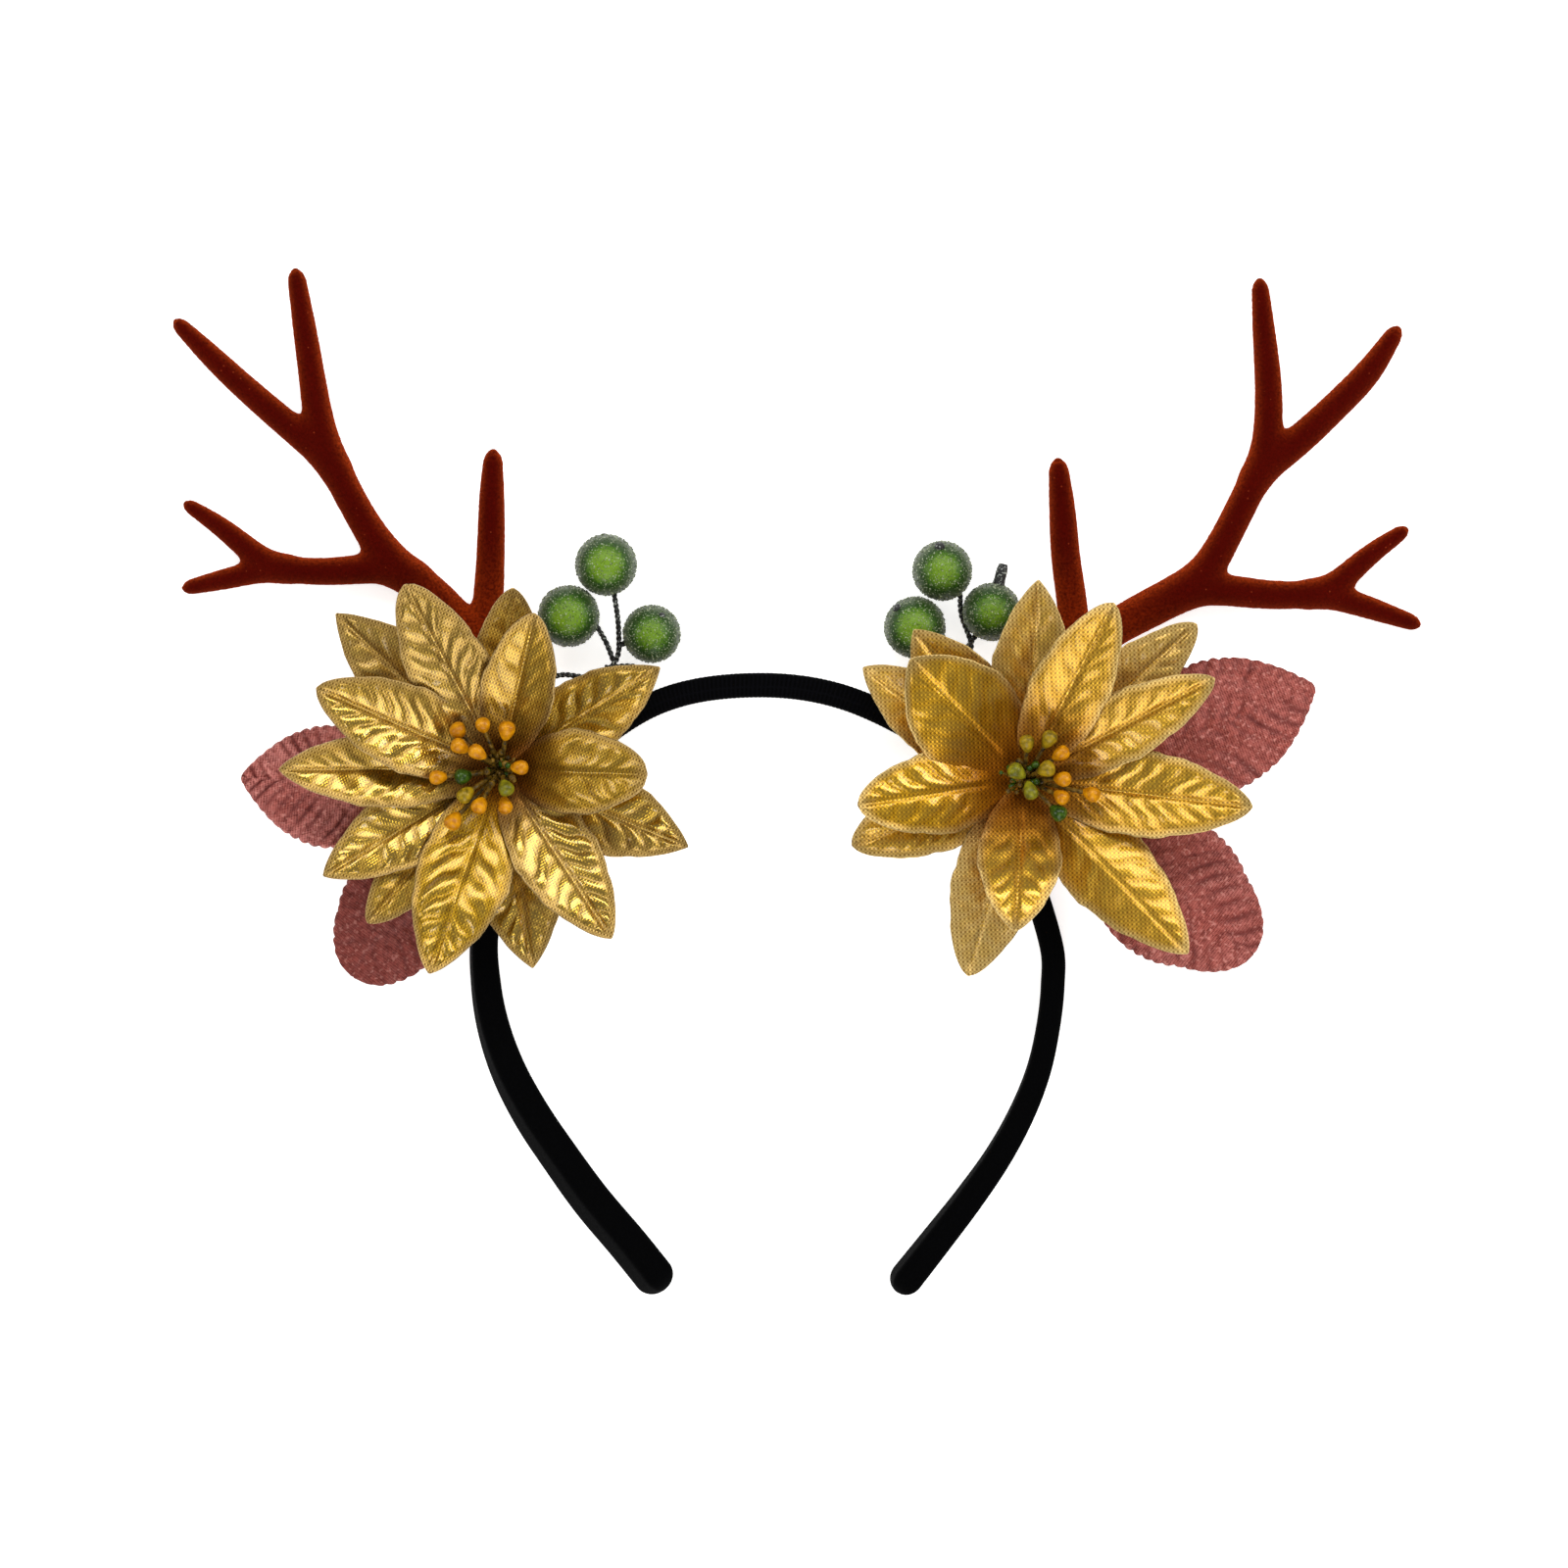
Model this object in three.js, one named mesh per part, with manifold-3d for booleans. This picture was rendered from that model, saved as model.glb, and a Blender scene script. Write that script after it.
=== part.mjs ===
import * as THREE from 'three';
import { mergeVertices } from 'three/addons/utils/BufferGeometryUtils.js';
import Module from 'manifold-3d';

// Antler headband with two gold poinsettias, rose leaves and frosted berries.
// Millimetres, +Z up. It lies on its back, with X and Y measured from the hoop's centre.

// Heights of the layers that lie on each other, from the surface up
const layerGap = 0.3;
const petalLayerGap = 0.45;
const bandDepth = 10;
const padThickness = 1.2;
const clothWall = 1.3;
const padFloor = bandDepth + layerGap;
const leafLevel = padFloor + padThickness + layerGap + clothWall / 2;
const backLevel = leafLevel + clothWall + layerGap;
const frontLevel = backLevel + clothWall + petalLayerGap;
const stamenFloor = frontLevel + clothWall / 2 + layerGap;

// Driving sizes of the pieces
const bandCornerRadius = 1.5;
const bandRings = 34;
const bandEndRounding = 4;
const padRadius = 16;
const padShift = 5;
const petalHubRadius = 4.5;
const petalStart = 2.5;
const petalTip = 0.09;
const stamenHubRadius = 2.4;
const stamenHubHeight = 1.4;
const stamenStemRadius = 0.5;
const pipLength = 3.7;
const pipRadius = 1.5;
const berryHeight = 7;
const wireRadius = 0.55;
const stubSides = 6;

// Where each flower sits
const flowerLeft = new THREE.Vector2(-57.9, 43.8);
const flowerRight = new THREE.Vector2(56.2, 41.7);

// A pad sits outward of its flower's centre, so it stays off the head
function padCentre(flower) {
  return flower.clone().setLength(flower.length() + padShift);
}

function table(columns, rows) {
  return rows.map((row) => Object.fromEntries(columns.map((name, i) => [name, row[i]])));
}

// The hoop's centre line in polar form, from the left end over the top to the right end.
// turn tips the strip about its own length, thick is its radial thickness.
const bandSections = table(['angle', 'radius', 'turn', 'thick'], [
  [252.4, 73.4, 20, 6.6],
  [243.4, 67.1, 21, 6.6],
  [232.9, 63.2, 21, 6.5],
  [222.8, 60.9, 20, 6.4],
  [211.9, 60.2, 18, 6.2],
  [201.8, 60.4, 14, 6],
  [192.3, 60.8, 10, 5.7],
  [183.4, 61.2, 7, 5.5],
  [172, 62.1, 5, 5.3],
  [150, 63, 0, 5.2],
  [115, 63.2, 0, 5.2],
  [92, 62.4, 0, 5.2],
  [70, 61.9, 0, 5.4],
  [40, 62, 0, 5.2],
  [5, 62.4, 0, 5],
  [-3.3, 62.4, 0, 5],
  [-11.8, 62.6, 0, 5],
  [-20.6, 63.2, -1, 5.1],
  [-29.4, 63.9, -2, 5.2],
  [-38.7, 65, -3, 5.3],
  [-48.3, 66.9, -5, 5.4],
  [-57.8, 70, -7, 5.6],
  [-67.8, 75.6, -9, 5.8],
]);

const branchColumns = ['x', 'y', 'z', 'radius'];

// Each antler is a beam with its upper tine, then the tines that leave it
const antlerLeft = [
  table(branchColumns, [
    [-57.5, 55.5, 6.5, 3.4],
    [-60, 65, 6.3, 3.4],
    [-65, 73.5, 5.8, 3.7],
    [-71.5, 81.8, 5.2, 3.9],
    [-81.5, 88.8, 4.7, 3.6],
    [-88.1, 98.3, 4.8, 3],
    [-94.9, 112.2, 5, 2.9],
    [-97.3, 118.5, 5.2, 3.1],
    [-98.9, 128.3, 5.6, 2.7],
    [-100.5, 139, 6.2, 2.4],
    [-102.4, 150.5, 7, 2],
  ]),
  table(branchColumns, [
    [-94.5, 110.5, 5, 2.6],
    [-99.7, 116.6, 5, 3.1],
    [-107, 123.1, 4.8, 2.9],
    [-115, 130, 4.4, 2.7],
    [-121.7, 136, 3.9, 2.4],
    [-127.2, 140.5, 3.4, 1.8],
  ]),
  table(branchColumns, [
    [-77, 86, 4.9, 2.8],
    [-84.5, 88, 4.6, 3.2],
    [-92.4, 87.2, 4.2, 2.9],
    [-100.9, 87.2, 3.8, 2.8],
    [-109.5, 88.7, 3.4, 2.8],
    [-115.9, 93.6, 3.2, 2.2],
    [-121.2, 97.7, 3, 1.9],
    [-125.5, 100.5, 2.8, 1.5],
  ]),
  table(branchColumns, [
    [-105.5, 87.6, 3.4, 2.4],
    [-110.5, 87.4, 3.1, 2.5],
    [-115.9, 85.9, 2.6, 2.2],
    [-121.2, 84.7, 2.1, 1.9],
    [-125.3, 83.8, 1.6, 1.6],
  ]),
  table(branchColumns, [
    [-60.8, 68, 6, 3.2],
    [-60.8, 76.5, 6.2, 3.3],
    [-60.3, 85.5, 6.5, 3],
    [-59.9, 96.2, 7, 2.85],
    [-59.8, 104.8, 7.4, 2.6],
    [-59.7, 110.7, 8, 2.2],
  ]),
];
const antlerRight = [
  table(branchColumns, [
    [62, 54, 6.5, 3.4],
    [67.5, 64.1, 6.3, 3.4],
    [73.3, 72.8, 5.9, 3.4],
    [81.5, 77.8, 5.4, 3.7],
    [89.4, 81.9, 4.9, 3.7],
    [95.4, 86, 4.7, 3.5],
    [99.5, 92.5, 4.8, 3],
    [104.8, 102.8, 5, 2.9],
    [109.2, 112.5, 5.2, 3.1],
    [109.7, 120.2, 5.5, 2.9],
    [109.5, 129.1, 5.8, 2.7],
    [108.5, 139.7, 6.4, 2.2],
    [107.9, 148.4, 7, 1.9],
  ]),
  table(branchColumns, [
    [107.2, 107.6, 5, 2.6],
    [111.2, 111.8, 5, 3.2],
    [117.6, 117.3, 4.8, 3.1],
    [125, 124.3, 4.4, 2.9],
    [131.7, 131.2, 3.9, 2.7],
    [136.4, 138.3, 3.4, 2],
  ]),
  table(branchColumns, [
    [90.5, 82, 4.9, 2.8],
    [98, 83.2, 4.6, 3.2],
    [106.9, 82.1, 4.2, 3],
    [117.5, 81.9, 3.8, 2.9],
    [124.4, 83.4, 3.4, 2.8],
    [129.8, 88.6, 3.2, 2.2],
    [135.5, 93.1, 3, 1.9],
    [138.1, 95.1, 2.8, 1.6],
  ]),
  table(branchColumns, [
    [119.5, 82, 3.4, 2.5],
    [124.6, 81.7, 3.1, 2.6],
    [129.8, 79.9, 2.7, 2.4],
    [135.5, 78.1, 2.2, 2.1],
    [140.6, 76.4, 1.8, 1.8],
  ]),
  table(branchColumns, [
    [68.6, 67.5, 6, 3.2],
    [67.6, 75, 6.2, 3.2],
    [66.9, 81.5, 6.5, 3.1],
    [65.4, 89.8, 6.8, 3],
    [64.6, 100.5, 7.3, 2.8],
    [63.9, 108.6, 8, 2.3],
  ]),
];

// Petals of each cloth layer: direction, reach and width in plan, then how far the tip rises,
// how far the edges fold up from the midrib, and how far the left edge rolls up over the right.
const petalColumns = ['angle', 'reach', 'width', 'rise', 'fold', 'roll'];
const petalsLeftBack = table(petalColumns, [
  [135.5, 48.8, 18, 4, 1, 0],
  [87, 39.6, 15, 7, 0.8, 0.5],
  [34, 40.8, 17, 6, -0.8, 0.6],
  [338, 44, 17, 5, 0.8, 0],
  [280, 43.6, 15.5, 5, 0.8, 0.5],
  [229, 44.3, 15.5, 4, 0.8, 0],
  [210, 44.5, 16, 6, 0.8, 0],
]);
const petalsLeftFront = table(petalColumns, [
  [117, 44.9, 18, 17, 1.6, 0.8],
  [77, 34.6, 16, 21, 0.6, -1],
  [359, 31.9, 18.5, 22, 1.2, 0],
  [303, 43.8, 15.5, 15, 1.4, -0.6],
  [250, 46.8, 20, 15, 0.4, 0.6],
  [180, 47.9, 16.5, 12, 0.8, -0.5],
  [157, 43.4, 18.6, 15, 0.6, 1],
]);
const petalsRightBack = table(petalColumns, [
  [42, 50.5, 16, 5, 0.8, 0],
  [85, 43.4, 16, 7, 1, 0.4],
  [126.5, 40.4, 18, 6, 0.8, 0],
  [146, 43.5, 17, 4, 0.8, 0.4],
  [201, 40, 17, 5, 0.8, -0.5],
  [253, 44.5, 17, 5, 0.8, 0],
  [308, 44, 13, 4, 0.8, 0],
]);
const petalsRightFront = table(petalColumns, [
  [28, 46.4, 15, 16, 1.6, -1],
  [63.5, 42.5, 17, 20, 1.2, 0],
  [134, 36, 24, 20, 1, 0.6],
  [190, 36.8, 16, 17, 0.8, -0.8],
  [266, 33, 18, 20, 1, 0],
  [313, 51.7, 19, 14, 0.6, 1],
  [353, 49.6, 18, 14, 1.2, 0.6],
]);

// Leaves start under a flower. Their tips droop, and their edges hang below the midrib.
const leafColumns = ['name', 'x', 'y', 'angle', 'start', 'reach', 'width', 'droop', 'fold', 'tip', 'peak'];
const leaves = table(leafColumns, [
  ['leaf_left_side', -57.9, 36.1, 174, 12, 56.6, 27.5, 3.5, -1.5, 0.25, 1.15],
  ['leaf_left_low', -57.9, 43.8, 236, 8, 56.2, 26, 5, -1.5, 0.75, 1.5],
  ['leaf_right_high', 57.5, 37.9, 21, 8, 66.4, 28.4, 3.5, -1.5, 0.3, 1.35],
  ['leaf_right_low', 56.2, 41.7, 321.5, 8, 63.4, 29.6, 5, -1.5, 0.65, 1.3],
]);

// Pips stand round the middle of a flower: place from its centre and height above the bundle's foot
const pipColumns = ['x', 'y', 'height'];
const pipsLeft = table(pipColumns, [
  [-3.6, 9.4, 8.2],
  [1.5, 8.3, 9],
  [-8.6, 4.9, 8.4],
  [-4.7, 3.6, 10.4],
  [-9, 8.3, 6.6],
  [4.2, 0.4, 10],
  [-13.3, -1.7, 7],
  [-4.3, -7.7, 9],
  [-10, -11.1, 7.4],
  [1.1, -7.7, 7.2],
  [-7.3, -5.4, 8.2],
  [1.3, -3.9, 9.6],
  [-7.9, -1.5, 6.2],
]);
const pipsRight = table(pipColumns, [
  [0.4, 7.6, 9],
  [5.1, 8.5, 8.4],
  [-1.7, 1.5, 10.4],
  [1.1, -2.4, 9.4],
  [4.5, 2.1, 9.8],
  [8, 0, 9],
  [7.8, -3.8, 8.2],
  [7.1, -7.2, 7.4],
  [14.3, -3.2, 7.6],
  [7.7, 5.4, 7.4],
]);

// Berries: centre and radius. A dark wire end stands out of some of them, stub is its direction in plan
const berryColumns = ['name', 'x', 'y', 'radius', 'stub', 'stubLength', 'stubRadius'];
const berries = table(berryColumns, [
  ['berry_left_1', -35.1, 88.6, 6.6, 95, 0.6, 0.7],
  ['berry_left_2', -43.3, 77.4, 6.6, 130, 0.3, 0.7],
  ['berry_left_3', -25.1, 73.5, 6.2, 60, 0.3, 0.7],
  ['berry_right_1', 38.5, 87.3, 6.4, 98, 0.4, 0.9],
  ['berry_right_2', 32.5, 74.9, 6.6, 133, 0.4, 0.9],
  ['berry_right_3', 49.3, 78.3, 6.2, 76, 4.4, 1.3],
]);

// Wires of each berry sprig, from the berry down to the pad, laid outside the hoop
const wireColumns = ['x', 'y', 'z'];
const sprigLeft = [
  table(wireColumns, [
    [-33.3, 82, 7],
    [-32.6, 77.4, 7],
    [-32.3, 72.9, 7],
    [-32.5, 68.8, 7.4],
    [-34, 66.2, 8],
    [-38.9, 64.1, 9],
    [-45.3, 64.4, 9.3],
    [-51, 61, 9.4],
    [-52.5, 55, 9.4],
  ]),
  table(wireColumns, [
    [-36.8, 74.6, 7],
    [-35, 71.4, 7],
    [-33.5, 67.6, 7.4],
  ]),
  table(wireColumns, [
    [-31.3, 71.3, 7],
    [-32.4, 70.6, 7.1],
  ]),
  table(wireColumns, [
    [-34, 66.2, 8],
    [-29.5, 66.4, 8.3],
    [-26, 65.3, 8.4],
    [-24.1, 64, 8.4],
  ]),
];
const sprigRight = [
  table(wireColumns, [
    [42.4, 81.8, 6],
    [42.7, 77.8, 4.2],
    [44.8, 71.6, 5],
    [44.7, 67.6, 7],
    [46, 62.5, 9],
    [49, 56, 9.4],
    [50.5, 51.5, 9.4],
  ]),
  table(wireColumns, [
    [45.6, 72.8, 6],
    [43.4, 68.9, 6.6],
    [45, 64.5, 8.4],
  ]),
  table(wireColumns, [
    [37.3, 69.8, 7],
    [40.5, 66.5, 7.6],
    [45.4, 63.6, 8.7],
  ]),
];

const materials = {
  velvet: new THREE.MeshStandardMaterial({ color: 0x050506, roughness: 0.95, metalness: 0 }),
  flock: new THREE.MeshStandardMaterial({ color: 0x6a1c0b, roughness: 0.95, metalness: 0 }),
  goldCloth: new THREE.MeshStandardMaterial({ color: 0xc99a22, roughness: 0.4, metalness: 0.3 }),
  roseCloth: new THREE.MeshStandardMaterial({ color: 0x9c4a4c, roughness: 0.7, metalness: 0 }),
  stamen: new THREE.MeshStandardMaterial({ color: 0xd98a10, roughness: 0.5, metalness: 0 }),
  berry: new THREE.MeshStandardMaterial({ color: 0x6f9436, roughness: 0.7, metalness: 0 }),
  wire: new THREE.MeshStandardMaterial({ color: 0x1b1b1c, roughness: 0.8, metalness: 0 }),
  felt: new THREE.MeshStandardMaterial({ color: 0x101010, roughness: 1, metalness: 0 }),
};

const manifold = await Module();
manifold.setup();

function toSolid(geometry) {
  const bare = geometry.clone();
  bare.deleteAttribute('normal');
  bare.deleteAttribute('uv');
  const welded = mergeVertices(bare, 1e-4);
  return new manifold.Manifold(new manifold.Mesh({
    numProp: 3,
    vertProperties: Float32Array.from(welded.attributes.position.array),
    triVerts: Uint32Array.from(welded.index.array),
  }));
}

function join(geometries) {
  const whole = geometries.map(toSolid).reduce((sum, solid) => sum.add(solid));
  const mesh = whole.getMesh();
  const geometry = new THREE.BufferGeometry();
  geometry.setAttribute('position', new THREE.BufferAttribute(Float32Array.from(mesh.vertProperties), 3));
  geometry.setIndex(new THREE.BufferAttribute(Uint32Array.from(mesh.triVerts), 1));
  geometry.computeVertexNormals();
  return geometry;
}

// Closed skin over rings of points, each ring turning anticlockwise about the way ahead
function loft(rings) {
  const sides = rings[0].length;
  const last = rings.length - 1;
  const middle = (ring) => ring.reduce((sum, p) => sum.add(p), new THREE.Vector3()).divideScalar(sides);
  const points = [...rings.flat(), middle(rings[0]), middle(rings[last])];
  const startPole = rings.length * sides;
  const endPole = startPole + 1;
  const index = [];
  for (let side = 0; side < sides; side += 1) {
    const next = (side + 1) % sides;
    for (let ring = 0; ring < last; ring += 1) {
      const near = ring * sides;
      const far = near + sides;
      index.push(near + side, near + next, far + next);
      index.push(near + side, far + next, far + side);
    }
    index.push(startPole, next, side);
    index.push(endPole, last * sides + side, last * sides + next);
  }
  const geometry = new THREE.BufferGeometry().setFromPoints(points);
  geometry.setIndex(index);
  geometry.computeVertexNormals();
  return geometry;
}

// Two directions across a path: one level and to the left, one as upright as the path lets it be
function crossAxes(ahead) {
  const upright = Math.abs(ahead.z) > 0.9 ? new THREE.Vector3(0, 1, 0) : new THREE.Vector3(0, 0, 1);
  const left = new THREE.Vector3().crossVectors(upright, ahead).normalize();
  const up = new THREE.Vector3().crossVectors(ahead, left).normalize();
  return { left, up };
}

function ringAt(centre, ahead, radius, sides) {
  const { left, up } = crossAxes(ahead);
  return Array.from({ length: sides }, (_, side) => {
    const turn = -Math.PI / 2 + (side * 2 * Math.PI) / sides;
    return centre.clone()
      .addScaledVector(left, radius * Math.cos(turn))
      .addScaledVector(up, radius * Math.sin(turn));
  });
}

// Round rod through a table of points, with a rounded far end
function rod(rows, sides, stepsPerRow, radiusOf) {
  const path = new THREE.CatmullRomCurve3(rows.map((row) => new THREE.Vector3(row.x, row.y, row.z)));
  const spans = rows.length - 1;
  const rings = [];
  for (let step = 0; step <= spans * stepsPerRow; step += 1) {
    const place = step / stepsPerRow;
    const row = Math.min(Math.floor(place), spans - 1);
    const radius = THREE.MathUtils.lerp(radiusOf(rows[row]), radiusOf(rows[row + 1]), place - row);
    rings.push(ringAt(path.getPoint(place / spans), path.getTangent(place / spans), radius, sides));
  }
  const end = path.getPoint(1);
  const ahead = path.getTangent(1);
  const endRadius = radiusOf(rows[spans]);
  for (const bow of [Math.PI / 5, Math.PI * 0.42]) {
    const centre = end.clone().addScaledVector(ahead, endRadius * Math.sin(bow));
    rings.push(ringAt(centre, ahead, endRadius * Math.cos(bow), sides));
  }
  return loft(rings);
}

function buildAntler(branches) {
  return join(branches.map((rows) => rod(rows, 8, 1, (row) => row.radius)));
}

function buildSprig(wires) {
  return join(wires.map((rows) => rod(rows, 6, 1, () => wireRadius)));
}

// Outline of the strip: a rectangle with round corners, right is away from the head
function bandOutline(thick) {
  const halfWide = thick / 2 - bandCornerRadius;
  const halfDeep = bandDepth / 2 - bandCornerRadius;
  const corners = table(['right', 'up', 'from'], [
    [1, -1, -90],
    [1, 1, 0],
    [-1, 1, 90],
    [-1, -1, 180],
  ]);
  return corners.flatMap((corner) => [0, 45, 90].map((swing) => {
    const turn = THREE.MathUtils.degToRad(corner.from + swing);
    return new THREE.Vector2(
      corner.right * halfWide + bandCornerRadius * Math.cos(turn),
      corner.up * halfDeep + bandCornerRadius * Math.sin(turn),
    );
  }));
}

function buildBand() {
  const path = new THREE.CatmullRomCurve3(bandSections.map(({ angle, radius }) => {
    const turn = THREE.MathUtils.degToRad(angle);
    return new THREE.Vector3(radius * Math.cos(turn), radius * Math.sin(turn), 0);
  }));
  path.arcLengthDivisions = 800;
  const length = path.getLength();
  const spans = bandSections.length - 1;
  const endSteps = [0, 0.08, 0.25, 0.55, 1].map((share) => share * bandEndRounding);
  const inner = Array.from({ length: bandRings - 1 }, (_, i) => {
    const share = (i + 1) / bandRings;
    return bandEndRounding + share * (length - 2 * bandEndRounding);
  });
  const stations = [...endSteps, ...inner, ...endSteps.map((step) => length - step).reverse()];
  const rings = stations.map((station) => {
    const share = path.getUtoTmapping(station / length);
    const row = Math.min(Math.floor(share * spans), spans - 1);
    const part = share * spans - row;
    const blend = (column) => THREE.MathUtils.lerp(
      bandSections[row][column], bandSections[row + 1][column], part,
    );
    const nearEnd = Math.min(station, length - station) / bandEndRounding;
    const shrink = nearEnd >= 1 ? 1 : Math.sqrt(1 - 0.88 * (1 - nearEnd) ** 2);
    const turn = THREE.MathUtils.degToRad(blend('turn'));
    const outline = bandOutline(blend('thick'));
    const turned = outline.map((p) => p.clone().rotateAround(new THREE.Vector2(), turn));
    const lowest = Math.min(...turned.map((p) => p.y));
    const ahead = path.getTangent(share);
    const outward = new THREE.Vector3(-ahead.y, ahead.x, 0);
    return turned.map((p) => path.getPoint(share)
      .addScaledVector(outward, p.x * shrink)
      .add(new THREE.Vector3(0, 0, p.y * shrink - lowest)));
  });
  return loft(rings);
}

// Thin cloth wall over a plan outline. height gives the middle of the wall at a share of the length
// and at -1 (right edge) to 1 (left edge) across.
function clothBlade({ centre, angle, start, reach, width, outline, height }, lengthSteps, widthSteps) {
  const turn = THREE.MathUtils.degToRad(angle);
  const columns = widthSteps + 1;
  const count = (lengthSteps + 1) * columns;
  const points = [];
  for (const side of [0.5, -0.5]) {
    for (let i = 0; i <= lengthSteps; i += 1) {
      const along = i / lengthSteps;
      const distance = THREE.MathUtils.lerp(start, reach, along);
      for (let j = 0; j <= widthSteps; j += 1) {
        const across = (2 * j) / widthSteps - 1;
        const offset = (across * outline(along) * width) / 2;
        points.push(new THREE.Vector3(
          centre.x + distance * Math.cos(turn) - offset * Math.sin(turn),
          centre.y + distance * Math.sin(turn) + offset * Math.cos(turn),
          height(along, across) + side * clothWall,
        ));
      }
    }
  }
  const index = [];
  for (let i = 0; i < lengthSteps; i += 1) {
    for (let j = 0; j < widthSteps; j += 1) {
      const a = i * columns + j;
      const b = a + columns;
      index.push(a, b, b + 1, a, b + 1, a + 1);
      index.push(count + a, count + b + 1, count + b, count + a, count + a + 1, count + b + 1);
    }
  }
  const rim = [];
  for (let i = 0; i < lengthSteps; i += 1) rim.push(i * columns);
  for (let j = 0; j < widthSteps; j += 1) rim.push(lengthSteps * columns + j);
  for (let i = lengthSteps; i > 0; i -= 1) rim.push(i * columns + widthSteps);
  for (let j = widthSteps; j > 0; j -= 1) rim.push(j);
  rim.forEach((a, place) => {
    const b = rim[(place + 1) % rim.length];
    index.push(count + a, count + b, b, count + a, b, a);
  });
  const geometry = new THREE.BufferGeometry().setFromPoints(points);
  geometry.setIndex(index);
  geometry.computeVertexNormals();
  return geometry;
}

function disc(centre, radius, floor, thickness, sides) {
  const geometry = new THREE.CylinderGeometry(radius, radius, thickness, sides);
  geometry.rotateX(Math.PI / 2);
  geometry.translate(centre.x, centre.y, floor + thickness / 2);
  return geometry;
}

function petalOutline(along) {
  const body = Math.sin(Math.PI * along) ** 0.8;
  return Math.max(petalTip, 0.97 * body + 0.3 * (1 - along) ** 3);
}

function buildPetals(centre, level, rows, widthSteps) {
  const petals = rows.map((row) => clothBlade({
    centre,
    angle: row.angle,
    start: petalStart,
    reach: row.reach,
    width: row.width,
    outline: petalOutline,
    height: (along, across) => {
      const bell = Math.sin(Math.PI * along) ** 1.3;
      const edge = row.fold * Math.abs(across) + row.roll * across;
      return level + row.rise * along ** 1.15 + edge * bell;
    },
  }, 6, widthSteps));
  return join([disc(centre, petalHubRadius, level - clothWall / 2, clothWall, 10), ...petals]);
}

function buildLeaf(row) {
  return clothBlade({
    centre: new THREE.Vector2(row.x, row.y),
    angle: row.angle,
    start: row.start,
    reach: row.reach,
    width: row.width,
    outline: (along) => {
      const body = Math.sin(Math.PI * along ** row.peak) ** 0.8;
      const blunt = row.tip * Math.sqrt(Math.max(0, 1 - ((1 - along) / 0.2 - 1) ** 2));
      return Math.max(body, along > 0.8 ? blunt : 0, 0.1);
    },
    height: (along, across) => {
      const flat = padRadius + padShift + 4;
      const distance = THREE.MathUtils.lerp(row.start, row.reach, along);
      const past = Math.max(0, (distance - flat) / (row.reach - flat));
      const bell = Math.sin(Math.PI * past) ** 0.7;
      return leafLevel - row.droop * past ** 1.5 + row.fold * Math.abs(across) * bell;
    },
  }, 8, 4);
}

function buildStamens(centre, rows) {
  const foot = disc(centre, stamenHubRadius, stamenFloor, stamenHubHeight, 10);
  const pieces = rows.flatMap((row) => {
    const base = new THREE.Vector3(centre.x + row.x * 0.12, centre.y + row.y * 0.12, stamenFloor + 0.7);
    const tip = new THREE.Vector3(centre.x + row.x, centre.y + row.y, stamenFloor + row.height);
    const bend = base.clone().lerp(tip, 0.5).add(new THREE.Vector3(0, 0, 1.2));
    const ahead = tip.clone().sub(bend).normalize();
    const stem = loft([base, bend, tip].map((point) => ringAt(point, ahead, stamenStemRadius, 3)));
    const swell = table(['along', 'radius'], [
      [-0.5, 0.4],
      [-0.2, 1],
      [0.2, 0.95],
      [0.5, 0.35],
    ]);
    const pip = loft(swell.map((ring) => ringAt(
      tip.clone().addScaledVector(ahead, ring.along * pipLength), ahead, ring.radius * pipRadius, 6,
    )));
    return [stem, pip];
  });
  return join([foot, ...pieces]);
}

function buildBerry(row) {
  const ball = new THREE.SphereGeometry(row.radius, 10, 6);
  ball.rotateX(Math.PI / 2);
  ball.translate(row.x, row.y, berryHeight);
  const turn = THREE.MathUtils.degToRad(row.stub);
  const ahead = new THREE.Vector3(Math.cos(turn), Math.sin(turn), 0);
  const centre = new THREE.Vector3(row.x, row.y, berryHeight);
  const stub = loft([row.radius * 0.7, row.radius + row.stubLength].map((distance) => ringAt(
    centre.clone().addScaledVector(ahead, distance), ahead, row.stubRadius, stubSides,
  )));
  return join([ball, stub]);
}

const headband = new THREE.Group();

function place(name, geometry, material) {
  const mesh = new THREE.Mesh(geometry, material);
  mesh.name = name;
  headband.add(mesh);
}

place('band', buildBand(), materials.velvet);
place('antler_left', buildAntler(antlerLeft), materials.flock);
place('antler_right', buildAntler(antlerRight), materials.flock);
place('pad_left', disc(padCentre(flowerLeft), padRadius, padFloor, padThickness, 20), materials.felt);
place('pad_right', disc(padCentre(flowerRight), padRadius, padFloor, padThickness, 20), materials.felt);
leaves.forEach((row) => place(row.name, buildLeaf(row), materials.roseCloth));
place('flower_left_back_petals', buildPetals(flowerLeft, backLevel, petalsLeftBack, 2), materials.goldCloth);
place('flower_left_front_petals', buildPetals(flowerLeft, frontLevel, petalsLeftFront, 4), materials.goldCloth);
place('flower_right_back_petals', buildPetals(flowerRight, backLevel, petalsRightBack, 2), materials.goldCloth);
place('flower_right_front_petals', buildPetals(flowerRight, frontLevel, petalsRightFront, 4), materials.goldCloth);
place('stamens_left', buildStamens(flowerLeft, pipsLeft), materials.stamen);
place('stamens_right', buildStamens(flowerRight, pipsRight), materials.stamen);
berries.forEach((row) => place(row.name, buildBerry(row), materials.berry));
place('sprig_left', buildSprig(sprigLeft), materials.wire);
place('sprig_right', buildSprig(sprigRight), materials.wire);

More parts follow.
